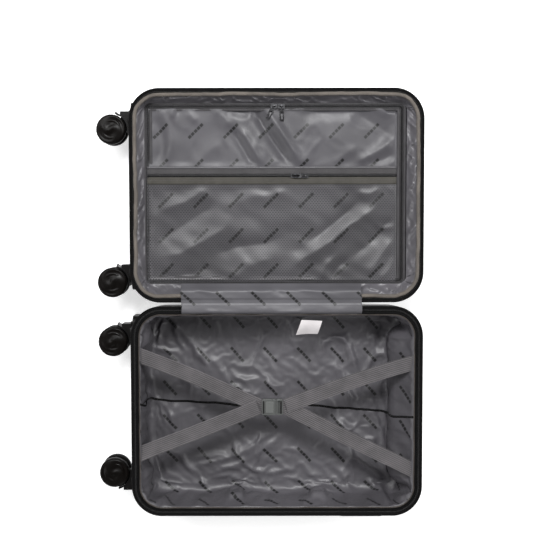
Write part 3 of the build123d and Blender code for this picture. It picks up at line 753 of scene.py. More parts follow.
# ------------------------------------------------------------------ zips
def coil_teeth(path, normal, z, pitch, length, wire, name, mat, body, flip=1):
    """A nylon coil: one rounded loop per tooth, laid across the line of the zip. path (n, 2) at even spacing, normal (n, 2)."""
    V, F = [], []
    ring = 6
    prof = [(-0.5, 0.0), (-0.42, 0.72), (0.0, 1.0), (0.42, 0.72), (0.5, 0.0)]
    for p, n in zip(path, normal):
        t = np.array([-n[1], n[0]])
        base = len(V)
        for k, (u, h) in enumerate(prof):
            cx = p + n * (u * length)
            for a in range(ring):
                an = 2 * math.pi * a / ring
                w = wire * (1.0 if 0 < k < len(prof) - 1 else 0.8)
                q = cx + t * (math.cos(an) * w)
                V.append((q[0], q[1], z + h * wire * 1.2 + math.sin(an) * w))
        for k in range(len(prof) - 1):
            for a in range(ring):
                b = (a + 1) % ring
                F.append((base + k * ring + a, base + k * ring + b, base + (k + 1) * ring + b, base + (k + 1) * ring + a))
        F.append(tuple(base + a for a in reversed(range(ring))))
        F.append(tuple(base + (len(prof) - 1) * ring + a for a in range(ring)))
    return make(name, V, F, mat, body)


def even_outline(inset, pitch, cy, skip=None):
    """Points at even spacing round the outline at an inset, with normals."""
    core, nrm, _, _ = outline(1.0)
    P = core + (R - inset) * nrm
    seg = np.linalg.norm(np.roll(P, -1, 0) - P, axis=1)
    cum = np.concatenate([[0], np.cumsum(seg)])
    n = int(cum[-1] / pitch)
    t = np.arange(n) * cum[-1] / n
    k = np.searchsorted(cum, t, side="right") - 1
    f = ((t - cum[k]) / seg[k])[:, None]
    Q = P[k] * (1 - f) + np.roll(P, -1, 0)[k] * f
    N = nrm[k] * (1 - f) + np.roll(nrm, -1, 0)[k] * f
    N /= np.linalg.norm(N, axis=1)[:, None]
    Q = Q + np.array([0, cy])
    if skip:
        ok = ~((Q[:, 0] > skip[0]) & (Q[:, 0] < skip[1]) & (np.sign(N[:, 1]) == skip[2]) & (np.abs(N[:, 1]) > 0.9))
        Q, N = Q[ok], N[ok]
    return Q, N


def make_rim(half):
    """Zip tape on the rim, with a rolled welt at the shell's edge, stitching, and the coil."""
    s = -1 if half == "base" else 1
    cy = s * HALF_Y
    body = half
    hinge_side = 1 if half == "base" else -1

    def tape(dist, total, core, nrm):
        top = [(0.5, 110.1), (0.25, 111.6), (1.2, 113.0), (2.6, 113.1), (3.4, 112.3), (4.6, 112.0), (9.0, 112.0), (10.6, 112.05),
               (11.6, 112.9), (12.7, 113.0), (13.3, 112.2), (13.2, 110.9), (11.8, 110.2), (6.0, 110.1)]
        out = np.tile(np.array(top), (len(dist), 1, 1))
        w = 0.22 * np.sin(dist / 17.0) + 0.18 * np.sin(dist / 7.3 + 1)
        out[:, 8:12, 0] += w[:, None]
        out[:, 8:11, 1] += (0.15 * np.sin(dist / 11.0))[:, None]
        return out

    V, F, UV, _ = ring_sweep(3.0, tape, cy)
    ob = make(f"{half}_rim_tape", V, F, M_TAPE.m, body, uv=UV)
    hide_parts(f"{half}_zip")
    Q, N = even_outline(6.9, 1.45, cy, skip=(-124, 110, hinge_side))
    coil_teeth(Q, N, 112.1, 1.45, 3.3, 0.58, f"{half}_rim_coil", M_COIL.m, body)
    # two rows of black stitching along the tape, one each side of the coil
    stitch_ring(half, cy, body, 3.9, 112.25)
    stitch_ring(half, cy, body, 10.2, 112.15)


def stitch_ring(half, cy, body, inset, z):
    Q, N = even_outline(inset, 2.9, cy)
    V, F = [], []
    for p, n in zip(Q, N):
        t = np.array([-n[1], n[0]])
        stitch(V, F, np.array([*p, z]), np.array([*t, 0.0]), np.array([*n, 0.0]), 2.0, 0.24)
    make(f"{half}_rim_stitch_{int(inset * 10)}", V, F, M_THREAD_B.m, body)


def stitch(V, F, c, t, n, length, r):
    """One short thread, sunk at both ends."""
    b = len(V)
    up = np.array([0, 0, 1.0])
    for u, h in ((-0.5, -0.25), (-0.25, 0.3), (0.25, 0.3), (0.5, -0.25)):
        p = c + t * (u * length) + up * (h * r * 1.6)
        for a in range(5):
            an = 2 * math.pi * a / 5
            V.append(tuple(p + n * (math.cos(an) * r) + up * (math.sin(an) * r)))
    for k in range(3):
        for a in range(5):
            q = (a + 1) % 5
            F.append((b + k * 5 + a, b + k * 5 + q, b + (k + 1) * 5 + q, b + (k + 1) * 5 + a))
    F.append(tuple(b + a for a in reversed(range(5))))
    F.append(tuple(b + 15 + a for a in range(5)))


# ------------------------------------------------------------------ lid: divider, pocket, net
_dlo, _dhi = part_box("divider_zip")
DX0, DX1 = (_dlo.x - OX) * 1000, (_dhi.x - OX) * 1000
DY0, DY1 = (_dlo.y - OY) * 1000, (_dhi.y - OY) * 1000
DZ = _dlo.z * 1000                     # top of the panel, underside of the divider tape
_plo, _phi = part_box("pocket_zip")
PKY = (_plo.y + _phi.y) / 2000 * 1e6 / 1000 * 1.0
PKY = ((_plo.y + _phi.y) / 2 - OY) * 1000
PKW = (_phi.y - _plo.y) / 2 * 1000
TW = 15.0

def on_lid(u, v):
    """Places a point of the lid fold plan, in its own units, in case coordinates."""
    return -308.6 + 0.3692 * u, 370.2 - 0.3692 * v


UPPER_FOLDS = [
    ([(733, 126), (800, 250), (905, 392)], 8.5, -7.5), ([(782, 126), (868, 255), (952, 385)], 9, 6.0),
    ([(632, 220), (695, 320), (735, 395)], 7, -5.0), ([(672, 222), (735, 318), (778, 390)], 7, 3.6), ([(255, 130), (262, 250), (256, 390)], 5, -2.6),
    ([(290, 160), (335, 290), (300, 385)], 9, -3.2), ([(320, 135), (372, 250), (345, 388)], 8, 2.6), ([(378, 128), (372, 175)], 4, 2.4), ([(395, 128), (400, 160)], 3.5, -1.6),
    ([(440, 150), (482, 195)], 6, 2.0), ([(560, 128), (600, 170), (640, 225)], 10, 2.6), ([(612, 122), (660, 140), (720, 160)], 11, -4.0),
    ([(940, 135), (1050, 150), (1200, 138)], 11, -3.0), ([(962, 124), (950, 152)], 2.6, 1.7), ([(986, 124), (972, 152)], 2.6, 1.8), ([(1010, 124), (996, 154)], 2.6, 1.9),
    ([(1034, 124), (1020, 154)], 2.6, 1.8), ([(1058, 124), (1045, 152)], 2.6, 1.8), ([(1082, 124), (1070, 152)], 2.6, 1.7), ([(1106, 124), (1096, 150)], 2.6, 1.7),
    ([(1130, 124), (1122, 148)], 2.6, 1.6), ([(1155, 124), (1150, 148)], 2.6, 1.5), ([(1180, 150), (1270, 200), (1360, 270)], 20, -4.4), ([(1190, 375), (1290, 325), (1368, 262)], 9, 3.4),
    ([(1230, 385), (1320, 350), (1372, 330)], 8, -2.4), ([(1340, 385), (1366, 368), (1376, 378)], 6, 2.8), ([(1090, 388), (1120, 350), (1200, 300)], 9, 1.8),
    ([(1290, 150), (1350, 150), (1372, 200)], 7, 2.0), ([(470, 390), (520, 330), (600, 280)], 14, 1.6), ([(990, 385), (960, 340), (980, 250)], 14, 1.5),
]
LOWER_FOLDS = [
    ([(250, 480), (262, 620), (258, 760), (275, 900)], 5, -2.8), ([(290, 560), (300, 700), (285, 860)], 8, 2.4), ([(300, 720), (430, 640), (570, 555)], 16, -3.6),
    ([(340, 590), (440, 540), (560, 490)], 12, 3.0), ([(350, 800), (450, 745), (560, 700), (640, 620)], 13, 3.2), ([(560, 790), (700, 740), (880, 700)], 18, -3.4),
    ([(640, 560), (760, 520), (900, 500)], 16, 2.6), ([(880, 850), (1010, 765), (1180, 650), (1310, 530)], 12, 4.4),
    ([(990, 710), (1090, 640), (1200, 540)], 9, -3.6), ([(1180, 800), (1290, 690), (1365, 600)], 11, -3.8),
    ([(1190, 500), (1240, 520), (1300, 490)], 8, 3.0), ([(1040, 900), (1060, 820), (1120, 760)], 8, 2.6), ([(1080, 900), (1110, 830), (1160, 790)], 7, -2.2),
    ([(1240, 880), (1300, 790), (1366, 700)], 9, 3.2), ([(1290, 900), (1340, 850), (1370, 790)], 8, 2.8), ([(380, 900), (430, 860), (540, 850)], 12, -2.2), ([(640, 900), (700, 830), (830, 800)], 13, 2.6),
    ([(1290, 640), (1320, 660), (1366, 655)], 6, 2.4), ([(1330, 480), (1366, 520), (1370, 600)], 6, 2.4),
]


def panel_plan(x, y):
    """Height of the divider cloth above its flat plane, zero along every zip."""
    x, y = np.asarray(x, float), np.asarray(y, float)
    fx = x + 4.5 * noise2(x, y, 36, 171) + 1.8 * noise2(x, y, 15, 172)
    fy = y + 4.5 * noise2(x, y, 36, 173) + 1.8 * noise2(x, y, 15, 174)
    ex = sstep(0, 10, x - (DX0 + 5)) * sstep(0, 12, (DX1 - TW + 1) - x)
    up = sstep(0, 1, ((DY1 - 10) - y) / (4 + 14 * sstep(150, 180, x))) * sstep(0, 12, y - (PKY + PKW - 2))
    dn = sstep(0, 12, (PKY - PKW + 1) - y) * sstep(0, 10, y - (DY0 + 5))
    h = up * (curve_folds(x, y, UPPER_FOLDS, on_lid) + 0.9 * noise2(x, y, 44, 11) + 1.0 * crumple(x, y, 38, 120) - 1.6)
    h += dn * (curve_folds(fx, fy, LOWER_FOLDS, on_lid) + 1.4 * noise2(x, y, 48, 13) + 0.7 * noise2(x + y, y, 22, 15) - 1.8)
    return h * ex


def curve_folds(x, y, curves, to_mm):
    """Soft folds along curved lines. Each is (points, width, height); to_mm places its points on the cloth."""
    x, y = np.asarray(x, float), np.asarray(y, float)
    h = np.zeros(np.broadcast(x, y).shape)
    for pts, w, a in curves:
        P = np.array([to_mm(*p) for p in pts], float)
        # round the corners of the line
        for _ in range(2):
            Q = [P[0]]
            for k in range(len(P) - 1):
                Q += [P[k] * 0.75 + P[k + 1] * 0.25, P[k] * 0.25 + P[k + 1] * 0.75]
            Q.append(P[-1])
            P = np.array(Q)
        L = np.concatenate([[0], np.cumsum(np.linalg.norm(np.diff(P, axis=0), axis=1))])
        best = np.full(h.shape, 1e9)
        where = np.zeros(h.shape)
        for k in range(len(P) - 1):
            d = P[k + 1] - P[k]
            ln2 = d @ d
            if ln2 < 1e-6:
                continue
            t = np.clip(((x - P[k][0]) * d[0] + (y - P[k][1]) * d[1]) / ln2, 0, 1)
            r = np.hypot(x - P[k][0] - t * d[0], y - P[k][1] - t * d[1])
            m = r < best
            best = np.where(m, r, best)
            where = np.where(m, (L[k] + t * math.sqrt(ln2)) / L[-1], where)
        end = sstep(-0.02, 0.2, where) * (1 - sstep(0.75, 1.0, where))
        # a rounded ridge with a sharper crest than a plain bell
        q = best / w
        h += a * (0.25 + 0.75 * end) * (0.6 * np.exp(-(q**2)) + 0.4 * np.exp(-2.2 * q))
    return h


def crumple(x, y, size, seed):
    """Warped ridges, as in loose thin cloth. 0 to 1, with features about size mm across."""
    wx = x + 0.55 * size * noise2(x, y, size * 1.3, seed) + 0.18 * size * noise2(x, y, size * 0.5, seed + 1)
    wy = y + 0.55 * size * noise2(x, y, size * 1.3, seed + 2) + 0.18 * size * noise2(x, y, size * 0.5, seed + 3)
    return (1 - np.abs(noise2(wx * 1.0 + wy * 0.45, wy * 0.8 - wx * 0.3, size, seed + 4))) ** 3


def grid_xy(x0, x1, y0, y1, step):
    nx, ny = max(2, round((x1 - x0) / step) + 1), max(2, round((y1 - y0) / step) + 1)
    X, Y = np.meshgrid(np.linspace(x0, x1, nx), np.linspace(y0, y1, ny), indexing="ij")
    return X, Y, nx, ny


def smooth_plan(sigma=2.4, cell=1.5):
    """The plan on a fine grid, with its kinks rounded off, as a function."""
    X, Y, nx, ny = grid_xy(DX0 - 6, DX1 + 6, DY0 - 6, DY1 + 6, cell)
    H = panel_plan(X, Y)
    k = np.arange(-6, 7)
    w = np.exp(-((k * cell / sigma) ** 2) / 2)
    w /= w.sum()
    for ax in (0, 1):
        P = np.pad(H, [(6, 6) if a == ax else (0, 0) for a in (0, 1)], mode="edge")
        H = sum(w[q] * (P[q : q + H.shape[0], :] if ax == 0 else P[:, q : q + H.shape[1]]) for q in range(13))
    sx, sy = X[1, 0] - X[0, 0], Y[0, 1] - Y[0, 0]

    def at(x, y):
        u = np.clip((np.asarray(x, float) - X[0, 0]) / sx, 0, nx - 1.001)
        v = np.clip((np.asarray(y, float) - Y[0, 0]) / sy, 0, ny - 1.001)
        i, j = u.astype(int), v.astype(int)
        fu, fv = u - i, v - j
        return (H[i, j] * (1 - fu) + H[i + 1, j] * fu) * (1 - fv) + (H[i, j + 1] * (1 - fu) + H[i + 1, j + 1] * fu) * fv

    return at


def strip(name, x0, x1, y0, y1, z0, thick, mat, body, step=3.0, follow=None, edge=0.35, across="y", ribs=0, rib_h=0.0):
    """A flat tape with rounded selvedges and optional ribs along it, as a closed thin body."""
    X, Y, nx, ny = grid_xy(x0, x1, y0, y1, step)
    Z = np.full_like(X, z0 + thick)
    w = (Y - y0) / (y1 - y0) if across == "y" else (X - x0) / (x1 - x0)
    Z -= edge * (1 - sstep(0, 0.08, w)) + edge * (1 - sstep(0, 0.08, 1 - w))
    if ribs:
        Z += rib_h * np.sin(w * 2 * math.pi * ribs)
    add = follow(X, Y) if follow else 0
    top = np.stack([X, Y, Z + add], 2).reshape(-1, 3)
    low = np.stack([X, Y, np.full_like(X, z0) + add], 2).reshape(-1, 3)
    V = np.concatenate([top, low])
    F = grid_faces(nx, ny) + grid_faces(nx, ny, start=nx * ny, flip=True)
    o = nx * ny
    for i in range(nx - 1):
        a, b = i * ny, (i + 1) * ny
        F.append((a, o + a, o + b, b))
        a, b = i * ny + ny - 1, (i + 1) * ny + ny - 1
        F.append((a, b, o + b, o + a))
    for j in range(ny - 1):
        F.append((j, j + 1, o + j + 1, o + j))
        a = (nx - 1) * ny + j
        F.append((a, o + a, o + a + 1, a + 1))
    uv = np.concatenate([np.stack([X, Y], 2).reshape(-1, 2)] * 2)
    return make(name, V, F, mat, body, uv=uv)


def stitch_line(name, p0, p1, z, mat, body, pitch=3.2, length=2.2, r=0.22, follow=None):
    p0, p1 = np.array(p0, float), np.array(p1, float)
    ln = np.linalg.norm(p1 - p0)
    t = (p1 - p0) / ln
    n = np.array([-t[1], t[0]])
    V, F = [], []
    for k in range(int(ln / pitch)):
        p = p0 + t * (k + 0.5) * pitch
        zz = z + (float(follow(p[0], p[1])) if follow else 0)
        stitch(V, F, np.array([*p, zz]), np.array([*t, 0.0]), np.array([*n, 0.0]), length, r)
    return make(name, V, F, mat, body)


def make_divider():
    panel_height = smooth_plan()
    # cloth panel, two fields in one sheet
    X, Y, nx, ny = grid_xy(DX0 + 4.6, DX1 - TW + 1.5, DY0 + 4.6, DY1 - 10.2, 1.9)
    # short of the far right corner, where the zip turns
    Y = DY0 + 4.6 + (Y - DY0 - 4.6) * (1 - 5.2 / (DY1 - 10.2 - DY0 - 4.6) * sstep(172, 184, X))
    # the cloth is turned over the inner half of the tape on three sides, and tucked under it on the fourth
    Z = DZ + 1.9 + panel_height(X, Y) - 2.4 * (1 - sstep(0, 3.5, DX1 - TW + 1.0 - X))
    Z -= 1.1 * (1 - sstep(0, 1.6, X - DX0 - 4.6)) + (1.1 + 1.6 * sstep(172, 184, X)) * (1 - sstep(0, 1.6 + 3 * sstep(172, 184, X), DY1 - 10.2 - 5.2 * sstep(172, 184, X) - Y)) + 0.9 * (1 - sstep(0, 1.6, Y - DY0 - 4.6))
    Z += 0.5 * noise2(X, 0 * Y, 14, 140) * (1 - sstep(0, 14, DY1 - 10.2 - Y))
    V = np.stack([X, Y, Z], 2).reshape(-1, 3)
    ob = make("divider_cloth", V, grid_faces(nx, ny), M_DIVIDER.m, "lid", uv=V[:, :2])
    # faces under the net take the darker satin, as painted shade of the net
    ob.data.materials.append(M_POCKET_SHADE.m)
    fc = np.array([p.center.y for p in ob.data.polygons])
    ob.data.polygons.foreach_set("material_index", ((fc - OY) * 1000 < PKY - PKW + 1).astype(int))
    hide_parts("divider_panel")

    # frame of zip tape round the panel, one closed body, with its coil
    out = [(DX0, DY0), (DX1, DY0), (DX1, DY1), (DX0, DY1)]

    def rect_loop(inset, rad, step=3.0):
        a, b = (DX1 - DX0) / 2 - inset, (DY1 - DY0) / 2 - inset
        core, nrm, dist, total = outline(step, rad, a - rad, b - rad)
        cx, cyy = (DX0 + DX1) / 2, (DY0 + DY1) / 2
        return core, nrm, dist, total, np.array([cx, cyy])

    rad = 12.0
    core, nrm, dist, total, cc = rect_loop(0, rad)
    prof = [(0.0, 0.1), (0.3, 0.95), (1.0, 1.2), (5.0, 1.15), (5.6, 1.15), (9.4, 1.15), (12.0, 1.15), (14.2, 1.1), (14.9, 0.7), (14.8, 0.05), (7.0, 0.0)]
    # corners of the inner edge are square, so the inset there is taken along straight sides only
    V = []
    for c, n in zip(core, nrm):
        for d, z in prof:
            rr = max(rad - d, 0.4)
            extra = (rad - d) - rr
            p = cc + c + rr * n + extra * (np.sign(c) * (np.abs(n) > -1)) * 1.0
            V.append((p[0], p[1], DZ + z))
    F = grid_faces(len(core), len(prof), True, True)
    uv = np.stack([np.repeat(dist, len(prof)), np.tile(np.array([p[0] for p in prof]), len(dist))], 1)
    ob = make("divider_zip_tape", V, F, M_DTAPE.m, "lid", uv=uv)
    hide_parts("divider_zip")
    # coil on the tape
    P = cc + core + (rad - 7.5) * nrm
    seg = np.linalg.norm(np.roll(P, -1, 0) - P, axis=1)
    cum = np.concatenate([[0], np.cumsum(seg)])
    pitch = 1.35
    n = int(cum[-1] / pitch)
    t = np.arange(n) * cum[-1] / n
    k = np.searchsorted(cum, t, side="right") - 1
    f = ((t - cum[k]) / seg[k])[:, None]
    Q = P[k] * (1 - f) + np.roll(P, -1, 0)[k] * f
    N = nrm[k] * (1 - f) + np.roll(nrm, -1, 0)[k] * f
    N /= np.linalg.norm(N, axis=1)[:, None]
    coil_teeth(Q, N, DZ + 1.35, pitch, 3.2, 0.5, "divider_coil", M_DCOIL.m, "lid")
    # near-black ridges each side of the coil: painted shade in the channels between coil and tape
    for inset, nm in ((4.6, "a"), (10.4, "b")):
        Pn = cc + core + (rad - inset) * nrm
        V = []
        for p, nn in zip(Pn, nrm):
            for u, z in ((-0.7, 1.15), (0, 1.62), (0.7, 1.15)):
                V.append((*(p + nn * u), DZ + z))
        make(f"divider_channel_shade_{nm}", V, grid_faces(len(core), 3, True, False), M_DCOIL.m, "lid")

    # pocket zip across the panel
    x0, x1 = DX0 + 6.0, DX1 - TW - 0.6
    strip("pocket_tape_upper", x0, x1, PKY + 2.0, PKY + PKW - 0.5, DZ + 1.3, 1.15, M_GTAPE.m, "lid", ribs=5, rib_h=0.10)
    ob = strip("pocket_tape_lower", x0, x1, PKY - PKW, PKY - 2.0, DZ + 1.3, 1.15, M_BTAPE.m, "lid", ribs=5, rib_h=0.10)
    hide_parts("pocket_zip")
    strip("pocket_zip_bed", x0, x1, PKY - 3.4, PKY + 3.4, DZ + 1.3, 1.0, M_DCOIL.m, "lid")
    xs = np.arange(x0 + 1, x1 - 1, 1.35)
    Q = np.stack([xs, np.full_like(xs, PKY)], 1)
    N = np.tile(np.array([0.0, 1.0]), (len(xs), 1))
    coil_teeth(Q, N, DZ + 2.2, 1.35, 3.2, 0.5, "pocket_coil", M_DCOIL.m, "lid")
    strip("pocket_hem", x0, x1, PKY + PKW - 2.4, PKY + PKW + 1.4, DZ + 1.6, 1.5, M_HEM.m, "lid")
    stitch_line("pocket_stitch_upper", (x0, PKY + PKW - 0.6), (x1, PKY + PKW - 0.6), DZ + 3.2, M_THREAD.m, "lid")
    stitch_line("pocket_stitch_lower", (x0, PKY - 7.0), (x1, PKY - 7.0), DZ + 2.6, M_THREAD.m, "lid")
    make_net(x0, x1, DY0 + 5.5, PKY - PKW + 1.0, panel_height)
    # side hem of the panel, where the cloth is turned over the tape
    stitch_line("panel_stitch_top", (DX0 + 8, DY1 - 12.4), (DX1 - TW, DY1 - 12.4), DZ + 2.0, M_THREAD.m, "lid")
    stitch_line("panel_stitch_left", (DX0 + 7.2, DY0 + 8), (DX0 + 7.2, DY1 - 13), DZ + 2.0, M_THREAD.m, "lid")


def make_net(x0, x1, y0, y1, panel_height):
    """Hexagon net laid over the lower field: flat ribbons of thread round each open cell."""
    w, h = 4.6, 2.9                    # cell pitch across and along
    V, F, key = [], [], {}

    def pt(x, y):
        k = (round(x * 20), round(y * 20))
        if k not in key:
            key[k] = len(V)
            V.append((x, y))
        return key[k]

    nx, ny = int((x1 - x0) / w), int((y1 - y0) / h)
    hexa = [(0, h * 0.66), (w / 2, h * 0.34), (w / 2, -h * 0.34), (0, -h * 0.66), (-w / 2, -h * 0.34), (-w / 2, h * 0.34)]
    shrink = 0.68
    for j in range(ny):
        cy = y0 + (j + 0.5) * h
        for i in range(nx):
            cx = x0 + (i + 0.5 + 0.5 * (j % 2)) * w
            if cx + w / 2 > x1:
                continue
            o = [pt(cx + a, cy + b) for a, b in hexa]
            base = len(V)
            V.extend([(cx + a * shrink, cy + b * shrink) for a, b in hexa])
            for k in range(6):
                q = (k + 1) % 6
                F.append((o[q], o[k], base + k, base + q))
    P = np.array(V)
    Z = DZ + 3.0 + panel_height(P[:, 0], P[:, 1]) * 0.97 - 1.0 * (1 - sstep(0, 4, P[:, 1] - DY0 - 5.5))
    ob = make("pocket_net", np.column_stack([P, Z]), F, M_NET.m, "lid", uv=P, smooth=False)
    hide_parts("mesh_pocket")


def make_lid_band():
    """Puckered band of lining from the bound edge down to the divider's zip."""
    step = 1.6
    core, nrm, dist, total = outline(step)
    n = len(core)
    rad2 = 13.0
    a2, b2 = (DX1 - DX0) / 2 - rad2 + 0.8, (DY1 - DY0) / 2 - rad2 + 0.8
    cx, cy = (DX0 + DX1) / 2, (DY0 + DY1) / 2
    inner_core = np.stack([core[:, 0] * a2 / A, core[:, 1] * b2 / B], 1) + np.array([cx, cy])
    reach = 2.6 * sstep(0, 0.8, np.maximum(-nrm[:, 0], np.abs(nrm[:, 1])))
    inner = inner_core + (rad2 - reach)[:, None] * nrm
    outer = core + (R - 13.2) * nrm + np.array([0, HALF_Y])
    # spacing of the pleats wanders, and some are deep
    ph = np.cumsum(0.62 + 0.30 * noise2(dist, 0 * dist, 40, 21))
    deep = 0.6 + 0.6 * noise2(dist, 0 * dist + 30, 34, 22)
    pl = np.sin(ph) * deep + 0.4 * np.sin(ph * 2.1 + 1.3)
    pl = np.sign(pl) * np.abs(pl) ** 0.8
    rows = 13
    V, UV = [], []
    for k in range(rows):
        t = k / (rows - 1)
        p = outer * (1 - t) + inner * t
        z = (RIM + 3.2) * (1 - t) ** 1.15 + (DZ + 1.7) * (1 - (1 - t) ** 1.15)
        puff = math.sin(math.pi * min(1, t * 1.05)) ** 0.8
        big = crumple(dist + 11 * t, 0 * dist + 16 * t, 19, 150) * 6.4 + 2.2 * noise2(dist - 9 * t, 0 * dist + 20 * t, 10, 160) + 1.2 * pl
        zz = z + puff * (big - 1.4)
        # pleats lean sideways as they go down
        lean = puff * 3.0 * noise2(dist, 0 * dist + 25 * t, 18, 24)
        tx = np.stack([-nrm[:, 1], nrm[:, 0]], 1)
        p = p + tx * lean[:, None] + nrm * (puff * 0.5 * pl)[:, None]
        V.append(np.column_stack([p, zz]))
        UV.append(np.column_stack([dist, np.full(n, t * 22)]))
    # turned under the frame at the bottom, and up under the binding at the top
    V = np.stack(V, 1).reshape(-1, 3)
    UV = np.stack(UV, 1).reshape(-1, 2)
    ob = make("lid_lining_band", V, grid_faces(n, rows, True, False), M_LINING_LID.m, "lid", uv=UV)
    return ob


def make_lid_tub():
    """The lining behind the divider, out of sight unless the case is seen edge on."""
    rows = wall_rows(12.6, RIM + 1.0, 15.5, 12.0, 16, 8)
    V, F, UV, top = tub(44, 32, rows)
    inside = sstep(0, 30, 175 - np.abs(V[:, 1])) * sstep(0, 30, 241 - np.abs(V[:, 0]))
    V[:, 2] += (1 - sstep(24, 50, V[:, 2])) * inside * (2.4 * np.abs(noise2(V[:, 0], V[:, 1], 38, 31)) + 1.2 * noise2(V[:, 0], V[:, 1], 17, 32))
    for gy in (-70, 70):
        near = (1 - sstep(7, 22, np.abs(V[:, 1] - gy))) * (1 - sstep(12, 30, np.abs(V[:, 2] - 57)))
        V[:, 0] = np.where((near > 0.02) & (V[:, 0] > 0), np.minimum(V[:, 0], 230 - 17 * near), V[:, 0])
    lim2 = -229.5 + 11.5 * (1 - sstep(80, 104, V[:, 2])) * sstep(92, 112, np.abs(V[:, 1]))
    V[:, 0] = np.where(V[:, 0] < lim2, lim2, V[:, 0])
    ob = make("lid_lining_tub", V + np.array([0, HALF_Y, 0]), F, M_LINING_LID.m, "lid", uv=UV)
    s = ob.modifiers.new("smooth", "SUBSURF")
    s.levels = s.render_levels = 1
    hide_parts("lid_lining")


def make_binding():
    """Woven binding folded over the lining's edge, slightly wavy."""

    def prof(dist, total, core, nrm):
        base = [(7.6, 113.3), (7.9, 115.0), (9.2, 115.9), (11.2, 116.2), (13.0, 115.7), (14.0, 114.4), (13.6, 113.2), (10.5, 112.9)]
        out = np.tile(np.array(base, float), (len(dist), 1, 1))
        w = 0.95 * noise2(dist, 0 * dist, 30, 41) + 0.55 * noise2(dist, 0 * dist, 11, 42)
        out[:, :, 0] += w[:, None]
        z = 0.45 * noise2(dist, 0 * dist + 9, 19, 43)
        out[:, 1:6, 1] += z[:, None]
        return out

    V, F, UV, _ = ring_sweep(2.0, prof, HALF_Y)
    ob = make("lid_binding_edge", V, F, M_BIND.m, "lid", uv=UV)
    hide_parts("lid_binding")
    Q, N = even_outline(12.6, 3.0, HALF_Y)
    V, F = [], []
    for p, n in zip(Q, N):
        t = np.array([-n[1], n[0]])
        stitch(V, F, np.array([*p, 116.0]), np.array([*t, 0.0]), np.array([*n, 0.0]), 2.1, 0.22)
    make("binding_stitch", V, F, M_THREAD.m, "lid")

    # thin bound edge of the base lining inside the base rim
    def prof_b(dist, total, core, nrm):
        base = [(12.9, 110.6), (13.1, 112.0), (14.0, 112.5), (15.0, 112.0), (15.1, 110.6), (14.0, 109.9)]
        out = np.tile(np.array(base, float), (len(dist), 1, 1))
        w = 0.5 * noise2(dist, 0 * dist, 24, 44)
        out[:, :, 0] += w[:, None]
        return out

    V, F, UV, _ = ring_sweep(2.5, prof_b, -HALF_Y)
    make("base_lining_edge", V, F, M_EDGE.m, "base", uv=UV)


# ------------------------------------------------------------------ wheel covers
def make_wheel_cover(key):
    """Domed gloss covers on both faces of a caster's wheels, with two shallow swirling blades."""
    lo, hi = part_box(f"caster_{key}_tyres")
    cx, cy, cz = ((lo.x + hi.x) / 2 - OX) * 1000, ((lo.y + hi.y) / 2 - OY) * 1000, (lo.z + hi.z) * 500
    half = (hi.z - lo.z) * 500
    spin = {"base_inner": 0.4, "base_outer": 1.1, "lid_inner": 0.2, "lid_outer": 0.7}[key]
    V, F = [], []
    na, nr = 96, 30
    for side in (1, -1):
        b = len(V)
        for i in range(nr + 1):
            r = 24.7 * i / nr
            for a in range(na):
                th = 2 * math.pi * a / na
                q = r / 24.7
                dome = 3.0 * (1 - q**2.6) - 1.6 * float(sstep(0.86, 1.0, q)) ** 2
                ang = th * side + spin + 2.2 * q
                blade = 1.9 * (0.5 + 0.5 * math.cos(2 * ang)) ** 1.2 * float(sstep(0.0, 0.35, q)) * (1 - float(sstep(0.72, 0.96, q)))
                z = half + 0.5 + dome - blade
                V.append((cx + r * math.cos(th), cy + r * math.sin(th), cz + side * z))
        for a in range(na):
            th = 2 * math.pi * a / na
            V.append((cx + 24.7 * math.cos(th), cy + 24.7 * math.sin(th), cz + side * (half - 2.2)))
        F += grid_faces(nr + 2, na, False, True, start=b, flip=side < 0)
    make(f"caster_{key}_covers", V, F, M_HUB.m, f"caster_{key}_wheels")


